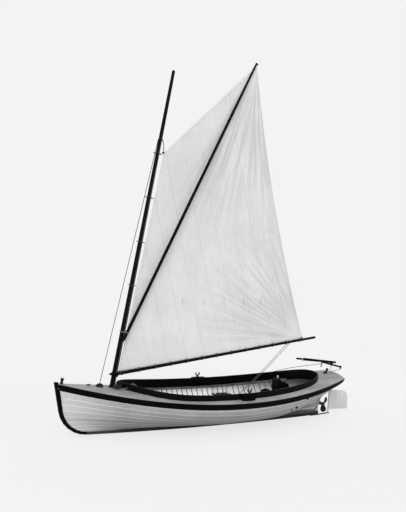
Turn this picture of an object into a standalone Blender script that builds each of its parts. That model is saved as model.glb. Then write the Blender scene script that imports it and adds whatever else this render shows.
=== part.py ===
"""A sixteen-foot open motor launch with an auxiliary sprit sail.

Metres. +X is the bow, +Y is port and +Z is up. Heights in this file are measured from the
base line, the lowest line of the keel. The empty called waterline lowers everything by the
draught, so the part's own origin is amidships, on the centreline, at the waterline.
"""
import math

import bpy
import bmesh
from mathutils import Matrix, Vector
from mathutils.bvhtree import BVHTree

# Overall lines of the hull
BOW_X = 2.44
STERN_X = -2.44
HALF_BEAM = 0.734
MAX_BEAM_X = -0.22
BOW_FULLNESS = 2.2
STERN_FULLNESS = 2.154
TRANSOM_HALF_WIDTH = 0.35
SHEER_BOW = 0.768
SHEER_LOW = 0.494
SHEER_LOW_X = -0.227
SHEER_STERN = 0.683
DRAUGHT = 0.21
CROWN = 0.118

# Backbone
KEEL_ROCKER = 0.034
KEEL_MIDDLE_X = -0.13
KEEL_HALF_LENGTH = 2.08
BACKBONE_DEPTH = 0.05
BACKBONE_HALF_THICKNESS = 0.022
STEM_RAKE = 0.225
STEM_RADIUS = 0.44
STEM_INNER_DEPTH = 0.11
STEM_HEAD_RISE = 0.012
STEM_DECK_GAP = 0.004
KEELSON_TOP = 0.145
KEELSON_FORE_X = 1.78
KEELSON_AFT_X = -1.55
POST_X = -2.205
POST_FACE = 0.06
TUCK_RADIUS = 0.25
TUCK_HEIGHT = 0.445
TUCK_START_X = -0.9
TUCK_POWER = 2.2
HORN_END_X = -2.418
HORN_DEPTH = 0.05
TUCK_ARC_Z = 0.155
KEELSON_TO_POST = 0.05

# Skin, deck and rails
PLANK = 0.014
DECK = 0.012
RAIL_HEIGHT = 0.085
RAIL_WIDTH = 0.024
TRANSOM_THICKNESS = 0.02
TRANSOM_BULGE = 0.04
END_GAP = 0.001
PLANK_END_X = STERN_X + TRANSOM_THICKNESS
GAP = 0.0003
SEAT_GAP = 0.0008
SKIN_ROWS = 7
ROW_CROWDING = 1.7

# Fullness of the sections: station, power of the topside, power of the bottom
SECTION_SHAPES = (
    (-2.44, 1.30, 1.00),
    (-1.90, 1.60, 0.84),
    (-1.20, 2.00, 0.66),
    (-0.20, 2.20, 0.60),
    (0.80, 1.90, 0.68),
    (1.60, 1.55, 0.82),
    (2.39, 1.30, 1.00),
)

# Cockpit
SIDE_DECK_WIDTH = 0.144
COCKPIT_HALF_WIDTH = HALF_BEAM - SIDE_DECK_WIDTH
COCKPIT_WIDEST_X = 0.028
COCKPIT_FORE_X = 1.494
COCKPIT_AFT_X = -2.033
COCKPIT_FORE_POWER = 3.629
COCKPIT_AFT_POWER_X = 2.423
COCKPIT_AFT_POWER_Y = 2.494
COAMING_RISE = 0.086
COAMING_DROP = 0.06
COAMING = 0.018
COCKPIT_FORE_STEPS = 9
COCKPIT_AFT_STEPS = 14
COCKPIT_FORE_CROWDING = 1.6
COCKPIT_AFT_CROWDING = 1.7
BOW_STATIONS = 8
STERN_STATIONS = 4

# Framing
RIB_FORE_X = 1.25
RIB_AFT_X = -1.9
RIB_SPACES = 11
RIB_WIDTH = 0.016
RIB_DEPTH = 0.010
RIB_SEAT = 0.002
RIB_FOOT_Y = 0.075
CLAMP_THICKNESS = 0.02
CLAMP_OVERHANG = 0.08
RISER_DEPTH = 0.045
RISER_THICKNESS = 0.018
RISER_OVERHANG = 0.12

# Inside
FLOOR_TOP = 0.19
FLOOR_BOARD = 0.015
FLOOR_HALF_WIDTH = 0.35 * HALF_BEAM
FLOOR_BOARDS = 5
FLOOR_BOARD_SPACE = 0.006
FLOOR_FORE_X = 1.02
FLOOR_AFT_X = -1.06
FLOOR_SIDE_SPACE = 0.015
FLOOR_BEARER = 0.04
FLOOR_BEARERS = 5
FLOOR_BEARER_INSET = 0.13
FLOOR_LAP = 0.002
THWART_TOP = 0.344
THWART = 0.022
THWART_FORE_X = -0.52
THWART_AFT_X = -0.80
KNEE_HEIGHT = 0.112
KNEE_REACH = 0.09
KNEE = 0.02
KNEE_TOE = 0.012
KNEE_SEAT = 0.004

# Spars
MAST_DECK_X = 1.574
MAST_DECK_Z = 0.696
MAST_TOP_Z = 5.169
MAST_RAKE = math.radians(8.28)
MAST_RADIUS = 0.0375
MAST_TOP_RADIUS = 0.0225
MAST_PARALLEL = 0.5
MAST_STEP_LENGTH = 0.18
MAST_STEP_WIDTH = 0.088
MAST_STEP_HEIGHT = 0.05
MAST_HEEL_SPACE = 0.006
MAST_COLLAR_WIDTH = 0.016
MAST_COLLAR_HEIGHT = 0.018
MAST_SIDES = 24
BOOM_TACK_Z = 0.852
BOOM_END_X = -2.044
BOOM_END_Z = 1.311
BOOM_RADIUS = 0.025
BOOM_END_RADIUS = 0.019
JAW_CLEARANCE = 0.0009
JAW_THICKNESS = 0.018
JAW_DEPTH = 0.05
JAW_MOUTH = math.radians(64)
PARREL_RADIUS = 0.004
PARREL_BEAD = 0.014
SPRIT_FOOT_Z = 1.322
SPRIT_RADIUS = 0.023
SPRIT_END_RADIUS = 0.014
SPRIT_PAST_PEAK = 0.01
RIG_CLEARANCE = 0.006

# Sail, by its corners in the fore-and-aft plane
SAIL_TACK_X = 1.492
SAIL_TACK_Z = 0.921
SAIL_THROAT_X = 1.000
SAIL_THROAT_Z = 3.997
SAIL_PEAK_X = -0.503
SAIL_PEAK_Z = 5.488
SAIL_CLEW_X = -1.782
SAIL_LEECH_HOLLOW = 0.11
SAIL_THICKNESS = 0.004
SAIL_BELLY = 0.05
SAIL_STEPS = 8
HOOP_HEIGHTS = (2.105, 2.718, 3.347, 3.977)
HOOP_RADIUS = 0.0565
HOOP_WIRE = 0.0045
SNOTTER_Z = 1.45
SNOTTER_SLACK = 0.0018

# Fore line and deck fittings
FORE_LINE_DECK_X = 1.772
FORE_LINE_MAST_Z = 4.17
FORE_LINE_RADIUS = 0.0045
# Cleats: length, width, height
FORE_CLEAT = (0.09, 0.024, 0.024)
HALYARD_CLEAT = (0.13, 0.03, 0.035)
HALYARD_CLEAT_X = 1.555
HALYARD_CLEAT_Y = 0.10
HALYARD_CLEAT_TURN = math.radians(25)
# Light sockets: radius of the stem, radius of the mouth, height
BOW_SOCKET_X = 2.335
BOW_SOCKET = (0.016, 0.024, 0.072)
STERN_SOCKET_X = -2.322
STERN_SOCKET = (0.011, 0.017, 0.075)
STERN_SOCKET_LEAN = math.radians(35)
STERN_PLATE_RADIUS = 0.03
STERN_PLATE_HEIGHT = 0.014

# Oarlocks
OARLOCK_PORT_X = -0.325
OARLOCK_STARBOARD_X = -0.24
OARLOCK_OUTBOARD = 0.063
OARLOCK_PAD_LENGTH = 0.24
OARLOCK_PAD_OUTER = 0.088
OARLOCK_SHANK = 0.007
OARLOCK_HORN = 0.006
OARLOCK_MOUTH = 0.032
OARLOCK_NECK = 0.024
OARLOCK_SOCKET_DEPTH = 0.055
OARLOCK_PAD_SPACE = 0.004
PAD_SEAT = 0.0012
OARLOCK_CLEARANCE = 0.0008

# Stern gear
PROPELLER_X = -2.315
PROPELLER_Z = 0.203
SHAFT_SLOPE = math.atan(0.12)
SHAFT_RADIUS = 0.0115
PROPELLER_RADIUS = 0.138
BLADES = 3
BLADE_PHASE = math.radians(23)
BLADE_PITCH = -0.20
HUB_RADIUS = 0.022
HUB_LENGTH = 0.06
HUB_NOSE = 0.018
TUBE_RADIUS = 0.0165
TUBE_CLEARANCE = 0.001
STUFFING_BOX_RADIUS = 0.027
STUFFING_BOX_LENGTH = 0.09
TUBE_INNER_X = -1.80
TUBE_PROUD = 0.028
BORE_RUN_OUT = 0.2
RUDDER_X = -2.441
STOCK_RADIUS = 0.0115
STOCK_FOOT_Z = 0.047
STOCK_TOP_Z = 0.842
STOCK_CLEARANCE = 0.0015
RUDDER_TUBE_RADIUS = 0.0175
TUBE_STANDING = 0.008
RUDDER_THICKNESS = 0.016
RUDDER_AFT_X = -2.858
RUDDER_TOP_Z = 0.421
RUDDER_FOOT_Z = 0.09
RUDDER_CORNER = 0.14
RUDDER_TAPER = 0.014
HEEL_BAR_WIDTH = 0.04
HEEL_BAR_DEPTH = 0.011
HEEL_BAR_FORE_X = -2.06
HEEL_BAR_SET = 0.03
HEEL_BAR_TAIL = 0.022
YOKE_LENGTH = 0.482
YOKE_WIDTH = 0.034
YOKE_DEPTH = 0.016
TILLER_HEAD_RADIUS = 0.021
TILLER_HEAD_HEIGHT = 0.025
TILLER_AFT_X = -2.534
TILLER_AFT_Z = 0.882
TILLER_GRIP_X = -1.808
TILLER_TIP_X = -1.689
TILLER_TIP_Z = 0.974
TILLER_RADIUS = 0.019
TILLER_TIP_RADIUS = 0.011

# Engine
ENGINE_X = -1.295
CYLINDER_RADIUS = 0.062
CYLINDER_TOP = 0.668
CYLINDER_FLANGE = 0.01
ELBOW_RADIUS = 0.02
LUG_INSET = 0.004
CRANKCASE_RADIUS = 0.105
CRANKCASE_LENGTH = 0.17
CRANKCASE_ROUND = 0.02
ENGINE_LUG = 0.022
FLYWHEEL_X = -1.12
FLYWHEEL_RADIUS = 0.165
FLYWHEEL_WIDTH = 0.045
FLYWHEEL_RIM = 0.02
FLYWHEEL_HUB_RADIUS = 0.04
CRANK_FACE = 0.003
CRANK_END_SPACE = 0.0009
ENGINE_BED_INNER_Y = 0.115
ENGINE_BED_OUTER_Y = 0.16
ENGINE_BED_DROP = 0.012
BED_CROSS = 0.04
BED_CROSS_DEPTH = 0.03
ENGINE_BED_FORE_X = -1.21
ENGINE_BED_AFT_X = -1.555
BED_SEAT = 0.0004
EXHAUST_OUTLET_X = -1.25
EXHAUST_RADIUS = 0.02
EXHAUST_LENGTH = 0.022
EXHAUST_ROW = 5


for old in list(bpy.data.objects):
    bpy.data.objects.remove(old, do_unlink=True)

scene_objects = bpy.context.scene.collection.objects
waterline = bpy.data.objects.new("waterline", None)
waterline.location = (0.0, 0.0, -DRAUGHT)
scene_objects.link(waterline)


def material(name, grey, roughness, metallic=0.0):
    """A plain Principled material, since the photograph has no hue to follow."""
    made = bpy.data.materials.new(name)
    made.use_nodes = True
    shader = made.node_tree.nodes["Principled BSDF"]
    shader.inputs["Base Color"].default_value = (*grey, 1.0)
    shader.inputs["Roughness"].default_value = roughness
    shader.inputs["Metallic"].default_value = metallic
    return made


PAINT_LIGHT = material("light_hull_paint", (0.46, 0.455, 0.44), 0.45)
PAINT_INSIDE = material("inside_paint", (0.55, 0.545, 0.53), 0.5)
PAINT_DARK = material("dark_varnish", (0.02, 0.018, 0.016), 0.35)
DECK_PAINT = material("deck_canvas", (0.28, 0.277, 0.27), 0.6)
SPAR = material("spar_varnish", (0.05, 0.045, 0.04), 0.35)
CLOTH = material("sail_cotton", (0.62, 0.615, 0.6), 0.9)
IRON = material("black_iron", (0.03, 0.03, 0.03), 0.5, 0.6)
BRONZE = material("bronze", (0.12, 0.11, 0.09), 0.4, 0.9)
GALVANIZED = material("galvanized", (0.45, 0.45, 0.45), 0.45, 0.8)
ROPE = material("rope", (0.3, 0.29, 0.27), 0.9)
BOARD = material("floor_board", (0.2, 0.19, 0.17), 0.6)


def add(name, mesh_source, finish, pivot=None, parent=waterline):
    """Turn a bmesh into a named object, with its origin on a pivot where one is given."""
    bmesh.ops.recalc_face_normals(mesh_source, faces=mesh_source.faces)
    mesh = bpy.data.meshes.new(name)
    mesh_source.to_mesh(mesh)
    mesh_source.free()
    made = bpy.data.objects.new(name, mesh)
    scene_objects.link(made)
    made.parent = parent
    mesh.materials.append(finish)
    if pivot is not None:
        mesh.transform(Matrix.Translation(-Vector(pivot)))
        made.location = pivot
    mesh.shade_smooth()
    mesh.set_sharp_from_angle(angle=math.radians(35))
    return made


def cap(made, row):
    """Close an end with strips from one side of its ring to the other."""
    count = len(row)
    if count % 2:
        made.faces.new(row)
        return
    for k in range(count // 2 - 1):
        made.faces.new((row[k], row[k + 1], row[count - 2 - k], row[count - 1 - k]))


def loft(rings, closed=False):
    """Skin a row of equal rings, split each quad the same way, and cap or close the ends."""
    made = bmesh.new()
    rows = [[made.verts.new(point) for point in ring] for ring in rings]
    pairs = list(zip(rows, rows[1:]))
    if closed:
        pairs.append((rows[-1], rows[0]))
    for near, far in pairs:
        for k in range(len(near)):
            n = (k + 1) % len(near)
            made.faces.new((near[k], near[n], far[n]))
            made.faces.new((near[k], far[n], far[k]))
    if not closed:
        for row in (rows[0], rows[-1]):
            cap(made, row)
    return made


def plate(outline, thickness, middle=0.0):
    """A flat plate in the fore-and-aft plane, from its outline in X and Z."""
    made = bmesh.new()
    base = made.faces.new([made.verts.new((x, middle - thickness / 2, z)) for x, z in outline])
    grown = bmesh.ops.extrude_face_region(made, geom=[base])
    top = [v for v in grown["geom"] if isinstance(v, bmesh.types.BMVert)]
    bmesh.ops.translate(made, verts=top, vec=(0.0, thickness, 0.0))
    return made


def circle(centre, radius, sides, side_axis, up_axis, phase=0.0):
    """One ring of points about a centre."""
    ring = []
    for k in range(sides):
        angle = phase + 2 * math.pi * k / sides
        ring.append(centre + side_axis * (radius * math.cos(angle)) + up_axis * (radius * math.sin(angle)))
    return ring


def swept(points, radii, sides, closed=False):
    """A round bar along a row of points, with its own radius at each point."""
    points = [Vector(p) for p in points]
    count = len(points)
    rings = []
    side = None
    for k, point in enumerate(points):
        if closed:
            along = points[(k + 1) % count] - points[k - 1]
        else:
            along = points[min(k + 1, count - 1)] - points[max(k - 1, 0)]
        along.normalize()
        if side is None:
            guide = Vector((0, 1, 0)) if abs(along.y) < 0.9 else Vector((0, 0, 1))
            side = along.cross(guide).normalized()
        side = (side - along * side.dot(along)).normalized()
        radius = radii[k] if isinstance(radii, (list, tuple)) else radii
        rings.append(circle(point, radius, sides, side, along.cross(side)))
    return loft(rings, closed)


def turned(profile, sides, place):
    """A solid of revolution about its own Z, from rows of radius and height, then placed."""
    rings = [circle(Vector((0, 0, z)), r, sides, Vector((1, 0, 0)), Vector((0, 1, 0))) for r, z in profile]
    made = loft(rings)
    made.transform(place)
    return made


def ring_bar(inner, outer, low, high, sides, place):
    """A plain collar: a closed loft of square sections about Z."""
    rings = []
    for k in range(sides):
        angle = 2 * math.pi * k / sides
        out = Vector((math.cos(angle), math.sin(angle), 0))
        rings.append([out * inner + Vector((0, 0, low)), out * outer + Vector((0, 0, low)),
                      out * outer + Vector((0, 0, high)), out * inner + Vector((0, 0, high))])
    made = loft(rings, closed=True)
    made.transform(place)
    return made


def box(low, high):
    """A box from its lowest to its highest corner."""
    made = bmesh.new()
    bmesh.ops.create_cube(made, size=1.0)
    size = Vector(high) - Vector(low)
    bmesh.ops.scale(made, vec=size, verts=made.verts)
    bmesh.ops.translate(made, vec=(Vector(high) + Vector(low)) / 2, verts=made.verts)
    return made


def combine(target, tools, operation):
    """Join solids to a target or cut them from it, and keep the plain mesh."""
    for tool in tools:
        step = target.modifiers.new(tool.name, "BOOLEAN")
        step.operation = operation
        step.solver = "EXACT"
        step.object = tool
    bpy.context.view_layer.update()
    result = bpy.data.meshes.new_from_object(target.evaluated_get(bpy.context.evaluated_depsgraph_get()))
    target.modifiers.clear()
    target.data = result
    result.shade_smooth()
    result.set_sharp_from_angle(angle=math.radians(35))
    for tool in tools:
        bpy.data.objects.remove(tool, do_unlink=True)


def mixed(table, x):
    """Read a table of rows by straight lines between its stations."""
    if x <= table[0][0]:
        return table[0][1:]
    for low, high in zip(table, table[1:]):
        if x <= high[0]:
            share = (x - low[0]) / (high[0] - low[0])
            return tuple(a + (b - a) * share for a, b in zip(low[1:], high[1:]))
    return table[-1][1:]


# Lines of the hull

def half_breadth(x):
    """Half-breadth of the hull at the sheer."""
    if x >= MAX_BEAM_X:
        return HALF_BEAM * (1 - ((x - MAX_BEAM_X) / (BOW_X - MAX_BEAM_X)) ** BOW_FULLNESS)
    aft = (MAX_BEAM_X - x) / (MAX_BEAM_X - STERN_X)
    return HALF_BEAM - (HALF_BEAM - TRANSOM_HALF_WIDTH) * aft ** STERN_FULLNESS


def sheer(x):
    """Height of the deck's edge."""
    if x >= SHEER_LOW_X:
        return SHEER_LOW + (SHEER_BOW - SHEER_LOW) * ((x - SHEER_LOW_X) / (BOW_X - SHEER_LOW_X)) ** 2
    return SHEER_LOW + (SHEER_STERN - SHEER_LOW) * ((SHEER_LOW_X - x) / (SHEER_LOW_X - STERN_X)) ** 2


def plank_top(x):
    return sheer(x) - DECK - GAP


def keel_bottom(x):
    return KEEL_ROCKER * ((x - KEEL_MIDDLE_X) / KEEL_HALF_LENGTH) ** 2


STEM_TURN_Z = keel_bottom(KEEL_MIDDLE_X + KEEL_HALF_LENGTH) + STEM_RADIUS
STEM_LEAN = math.hypot(1.0, STEM_RAKE)
STEM_TURN_X = BOW_X - STEM_RAKE * (SHEER_BOW - STEM_TURN_Z) - STEM_RADIUS * STEM_LEAN


def stem_x(z, inward):
    """Fore-and-aft place of the stem's edge at a height, moved inward square to the edge."""
    radius = STEM_RADIUS - inward
    if z > STEM_TURN_Z - radius * STEM_RAKE / STEM_LEAN:
        return BOW_X - STEM_RAKE * (SHEER_BOW - z) - inward * STEM_LEAN
    fall = min(STEM_TURN_Z - z, radius)
    return STEM_TURN_X + math.sqrt(radius ** 2 - fall ** 2)


def rabbet(x):
    return keel_bottom(x) + BACKBONE_DEPTH


HEAD_X = BOW_X
for _ in range(12):
    HEAD_X = stem_x(plank_top(HEAD_X), BACKBONE_DEPTH)
HEAD_TOP = plank_top(HEAD_X)
HEAD_LOW = STEM_TURN_Z - STEM_RADIUS + BACKBONE_DEPTH


def reach(h):
    """Share of the full length that a waterline has forward of the widest station."""
    return (stem_x(HEAD_LOW + (HEAD_TOP - HEAD_LOW) * h, BACKBONE_DEPTH) - MAX_BEAM_X) / (HEAD_X - MAX_BEAM_X)


def tuck_line(x):
    """Height at which the body of the hull leaves the centreline aft."""
    if x >= TUCK_START_X:
        return rabbet(x)
    share = (TUCK_START_X - x) / (TUCK_START_X - STERN_X)
    return rabbet(x) + (TUCK_HEIGHT - rabbet(x)) * share ** TUCK_POWER


def body_breadth(x, h):
    """Half-breadth of the fair body at a share of the section's height."""
    topside, bottom = mixed(SECTION_SHAPES, x)
    low = (tuck_line(x) - rabbet(x)) / (plank_top(x) - rabbet(x))
    g = min(max((h - low) / (1 - low), 0.0), 1.0)
    return half_breadth(x) * (1 - (1 - g) ** topside) ** bottom


def hull_point(x, h):
    """A point of the outside of the port planking."""
    low_x = x
    px = x
    if x > MAX_BEAM_X:
        low_x = MAX_BEAM_X + (x - MAX_BEAM_X) * reach(0.0)
        px = MAX_BEAM_X + (x - MAX_BEAM_X) * reach(h)
    low = rabbet(low_x)
    high = plank_top(x)
    step = 0.02
    low_h = max(h - step, 0.0)
    high_h = min(h + step, 1.0)
    slope = (body_breadth(x, high_h) - body_breadth(x, low_h)) / ((high_h - low_h) * (high - low))
    floor = BACKBONE_HALF_THICKNESS + GAP + PLANK / math.hypot(1.0, slope)
    breadth = (body_breadth(x, h) ** 3 + floor ** 3) ** (1 / 3)
    return Vector((px, breadth, low + (high - low) * h))


def transom_x(y):
    """Forward face of the transom, bowed aft in plan."""
    return STERN_X + TRANSOM_THICKNESS - TRANSOM_BULGE * (1 - (y / TRANSOM_HALF_WIDTH) ** 2)


def skin_rows(x):
    """Shares of height of the planking's rows at a station, the last strip behind the rail."""
    top = plank_top(x)
    rail = 1 - (RAIL_HEIGHT - DECK) / (top - rabbet(x))
    bare = min(max((POST_X + POST_FACE - x) / POST_FACE, 0.0), 1.0)
    low = bare * (tuck_line(x) - rabbet(x)) / (top - rabbet(x))
    rows = [low + (rail - low) * (k / SKIN_ROWS) ** ROW_CROWDING for k in range(SKIN_ROWS + 1)]
    return rows + [1.0]


def skin_section(x):
    """Outer and inner points of the port planking at a station, from keel to sheer."""
    outer, inner = [], []
    step = 0.01
    for h in skin_rows(x):
        point = hull_point(x, h)
        along = hull_point(min(x + step, HEAD_X), h) - hull_point(max(x - step, STERN_X), h)
        upward = hull_point(x, min(h + step, 1.0)) - hull_point(x, max(h - step, 0.0))
        inward = along.cross(upward).normalized()
        if inward.y > 0:
            inward.negate()
        inside = point + inward * PLANK
        inside.y = max(inside.y, BACKBONE_HALF_THICKNESS + GAP)
        outer.append(point)
        inner.append(inside)
    inner[-1].z = min(outer[-1].z, plank_top(inner[-1].x))
    return outer, inner


# Plan of the cockpit, from its point forward to the middle of its round end aft

def cockpit_plan():
    points = []
    for k in range(COCKPIT_FORE_STEPS):
        share = 1 - (k / COCKPIT_FORE_STEPS) ** COCKPIT_FORE_CROWDING
        x = COCKPIT_WIDEST_X + (COCKPIT_FORE_X - COCKPIT_WIDEST_X) * share
        points.append(Vector((x, COCKPIT_HALF_WIDTH * (1 - share ** COCKPIT_FORE_POWER), 0)))
    for k in range(COCKPIT_AFT_STEPS, -1, -1):
        share = 1 - (k / COCKPIT_AFT_STEPS) ** COCKPIT_AFT_CROWDING
        x = COCKPIT_WIDEST_X - (COCKPIT_WIDEST_X - COCKPIT_AFT_X) * share
        breadth = (1 - share ** COCKPIT_AFT_POWER_X) ** (1 / COCKPIT_AFT_POWER_Y)
        points.append(Vector((x, COCKPIT_HALF_WIDTH * breadth, 0)))
    return points


def plan_offset(points, distance):
    """The cockpit's plan moved outward, with both its ends kept on the centreline."""
    moved = []
    for k, point in enumerate(points):
        if k == 0:
            tangent = points[1] - points[0]
        elif k == len(points) - 1:
            tangent = Vector((0, -1, 0))
        else:
            tangent = (points[k + 1] - point).normalized() + (point - points[k - 1]).normalized()
        tangent.normalize()
        outward = Vector((tangent.y, -tangent.x, 0))
        if outward.dot(Vector((point.x - COCKPIT_WIDEST_X, point.y, 0))) < 0:
            outward.negate()
        if k == 0:
            moved.append(Vector((point.x + distance / outward.x, 0, 0)))
        else:
            moved.append(point + outward * distance)
    moved[-1].y = 0
    return moved


def deck_z(x, y):
    """Top of the crowned deck."""
    breadth = half_breadth(min(max(x, STERN_X), HEAD_X))
    across = min(abs(y) / breadth, 1.0)
    return sheer(x) + CROWN * breadth * (1 - across ** 2)


plan = cockpit_plan()
coaming_outer = plan_offset(plan, COAMING)
deck_inner = plan_offset(plan, COAMING + GAP)
DECK_FORE_X = deck_inner[0].x
DECK_AFT_X = deck_inner[-1].x


def spaced(start, end, count, crowding=1.0):
    return [start + (end - start) * (k / count) ** crowding for k in range(count + 1)]


side_stations = [p.x for p in deck_inner]
bow_stations = spaced(HEAD_X, DECK_FORE_X, BOW_STATIONS)
stern_stations = spaced(DECK_AFT_X, PLANK_END_X, STERN_STATIONS)
stations = bow_stations[:-1] + side_stations + stern_stations[1:]
post_stations = [POST_X + POST_FACE, POST_X]
stations = sorted(set(stations + post_stations), reverse=True)
skin = [skin_section(x) for x in stations]
for row in skin[-1]:
    for point in row:
        point.x = transom_x(point.y) + END_GAP


def mirrored(rings, side):
    """The same rings on port, or reflected to starboard."""
    return [[Vector((p.x, p.y * side, p.z)) for p in ring] for ring in rings]


SIDES = (("port", 1), ("starboard", -1))

# Planking and rub rails
for side_name, side in SIDES:
    rings = [outer + inner[::-1] for outer, inner in skin]
    add("planking_" + side_name, loft(mirrored(rings, side)), PAINT_LIGHT)

# Round moulding of the rub rail: share of its width, share of its height
RAIL_MOULD = ((0.0, 1.0), (0.8, 0.93), (1.0, 0.62), (1.0, 0.34), (0.7, 0.08))


def rail_section(index):
    """One section of the rub rail, its back parallel to the planking and the deck's edge."""
    outer, inner = skin[index]
    x = stations[index]
    low, high = outer[-2], outer[-1]
    neighbour = skin[max(index - 1, 0)][0][-1] - skin[min(index + 1, len(skin) - 1)][0][-1]
    out = Vector((-neighbour.y, neighbour.x, 0)).normalized()
    if out.y < 0:
        out.negate()
    top = Vector((high.x, high.y, sheer(x)))
    ring = [low + out * GAP, high + out * GAP, top + out * GAP]
    for width, height in RAIL_MOULD[1:]:
        offset = out * (GAP + RAIL_WIDTH * width)
        if index == len(stations) - 1:
            offset.x = 0.0
        ring.append(low + (top - low) * height + offset)
    return ring


for side_name, side in SIDES:
    rings = [rail_section(k) for k in range(len(stations))]
    add("rub_rail_" + side_name, loft(mirrored(rings, side)), PAINT_DARK)


def edge_point(x):
    """Outer top corner of the planking, by straight lines between the stations."""
    for k in range(len(stations) - 1):
        if stations[k] >= x >= stations[k + 1]:
            share = (stations[k] - x) / (stations[k] - stations[k + 1])
            return skin[k][0][-1].lerp(skin[k + 1][0][-1], share)
    return skin[-1][0][-1].copy()


def deck_strip(start, end, steps):
    """Ring across a strip of deck from one edge to the other, top then underside."""
    top, under = [], []
    for k in range(steps + 1):
        spot = start.lerp(end, k / steps)
        top.append(Vector((spot.x, spot.y, deck_z(spot.x, spot.y))))
    top[0].z = start.z if start.z else top[0].z
    top[-1].z = end.z if end.z else top[-1].z
    under = [p - Vector((0, 0, DECK)) for p in top]
    return top + under[::-1]


def edge_corner(x, side=1):
    """Deck's corner at the sheer."""
    corner = edge_point(x)
    return Vector((corner.x, corner.y * side, corner.z + DECK + GAP))


for side_name, side in SIDES:
    rings = []
    for inner, x in zip(deck_inner, side_stations):
        start = Vector((inner.x, max(inner.y, GAP), 0))
        rings.append(deck_strip(start, edge_corner(x), 2))
    add("side_deck_" + side_name, loft(mirrored(rings, side)), DECK_PAINT)

DECK_ACROSS = 8
fore_stations = [x for x in stations if x >= DECK_FORE_X]
rings = []
for x in fore_stations:
    port = edge_corner(x)
    starboard = Vector((port.x, -port.y, port.z))
    ring = deck_strip(port, starboard, DECK_ACROSS)
    rings.append(ring)
for point in rings[-1]:
    point.x += GAP
foredeck = add("foredeck", loft(rings), DECK_PAINT)

aft_stations = [x for x in stations if x <= DECK_AFT_X]
rings = []
for x in aft_stations:
    port = edge_corner(x)
    starboard = Vector((port.x, -port.y, port.z))
    rings.append(deck_strip(port, starboard, DECK_ACROSS))
for point in rings[0]:
    point.x -= GAP
corner = Vector((STERN_X, TRANSOM_HALF_WIDTH, sheer(STERN_X)))
ring = deck_strip(corner, Vector((corner.x, -corner.y, corner.z)), DECK_ACROSS)
for point in ring:
    point.x = transom_x(point.y) - TRANSOM_THICKNESS
    point.z += sheer(point.x) - sheer(STERN_X)
rings.append(ring)
aft_deck = add("aft_deck", loft(rings), DECK_PAINT)

# Transom, on the ends of the planking and under the deck
deck_ahead, deck_behind = rings[-2][::-1], rings[-1][::-1]
rings = []
for outer_point in skin[-1][0]:
    row = []
    for k in range(DECK_ACROSS + 1):
        y = outer_point.y * (1 - 2 * k / DECK_ACROSS)
        row.append(Vector((transom_x(y), y, outer_point.z)))
    narrow = TRANSOM_HALF_WIDTH / skin[-1][0][-1].y
    rings.append(row + [Vector((p.x - TRANSOM_THICKNESS, p.y * narrow, p.z)) for p in row[::-1]])
rings[-1] = [p - Vector((0, 0, END_GAP)) for p in rings[-1]]
front, back = [], []
for k in range(DECK_ACROSS + 1):
    ahead, behind = deck_ahead[k], deck_behind[k]
    share = (transom_x(ahead.y) - ahead.x) / (behind.x - ahead.x)
    front.append(ahead.lerp(behind, max(share, 0.0)) - Vector((0, 0, END_GAP)))
    back.append(behind - Vector((0, 0, END_GAP)))
rings.append(front + back[::-1])
transom = add("transom", loft(rings), PAINT_LIGHT)

# Coaming in two bent halves
for side_name, side in SIDES:
    rings = []
    for inside, outside in zip(plan, coaming_outer):
        top = deck_z(outside.x, outside.y) + COAMING_RISE
        low = deck_z(outside.x, outside.y) - DECK - COAMING_DROP
        rings.append([Vector((inside.x, inside.y, low)), Vector((outside.x, outside.y, low)),
                      Vector((outside.x, outside.y, top)), Vector((inside.x, inside.y, top))])
    for ring in (rings[0], rings[-1]):
        for point in ring:
            point.y = GAP / 2
    add("coaming_" + side_name, loft(mirrored(rings, side)), PAINT_DARK)

# Keel, stem, keelson and sternpost, all flat plates on the centreline
full = 2 * BACKBONE_HALF_THICKNESS
KEEL_FORE_X = STEM_TURN_X
KEEL_AFT_X = POST_X - 0.01
keel_line = spaced(KEEL_AFT_X, KEEL_FORE_X, 10)
outline = [(x, keel_bottom(x)) for x in keel_line]
outline += [(x, rabbet(x) + PLANK) for x in keel_line[::-1]]


def on_keel(start, end):
    """Points on top of the keel from one place to another, with its own bends."""
    line = []
    for x in sorted([start, end] + [x for x in keel_line if min(start, end) < x < max(start, end)]):
        k = max(n for n in range(len(keel_line) - 1) if keel_line[n] <= x + GAP)
        a, b = keel_line[k], keel_line[k + 1]
        height = rabbet(a) + (rabbet(b) - rabbet(a)) * (x - a) / (b - a)
        line.append((x, height + PLANK + GAP))
    return line if end > start else line[::-1]


keel = add("keel", plate(outline, full), PAINT_DARK)

stem_heights = [STEM_TURN_Z - STEM_RADIUS * math.cos(math.radians(a)) for a in (0, 13, 26, 39, 52, 65, 77)]
head_z = SHEER_BOW + STEM_HEAD_RISE
outline = [(stem_x(z, 0.0), z) for z in stem_heights] + [(stem_x(head_z, 0.0), head_z)]
notch_z = deck_z(HEAD_X, 0) - DECK - STEM_DECK_GAP
inner_top_x = stem_x(notch_z, STEM_INNER_DEPTH)
inner_top_z = deck_z(inner_top_x, 0) - DECK - STEM_DECK_GAP
outline += [(HEAD_X + STEM_DECK_GAP, head_z), (HEAD_X + STEM_DECK_GAP, notch_z)]
inner_radius = STEM_RADIUS - STEM_INNER_DEPTH
inner_heights = [inner_top_z]
for angle in (77, 60, 45, 30, 15, 0):
    inner_heights.append(STEM_TURN_Z - inner_radius * math.cos(math.radians(angle)))
outline += [(stem_x(z, STEM_INNER_DEPTH), z) for z in inner_heights]
outline = [(max(x, KEEL_FORE_X + GAP), z) for x, z in outline]
stem = add("stem", plate(outline, full), PAINT_DARK)

outline = on_keel(KEELSON_AFT_X, KEELSON_FORE_X)
outline += [(KEELSON_FORE_X, KEELSON_TOP), (KEELSON_AFT_X, KEELSON_TOP)]
keelson = add("keelson", plate(outline, full), BOARD)

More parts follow.
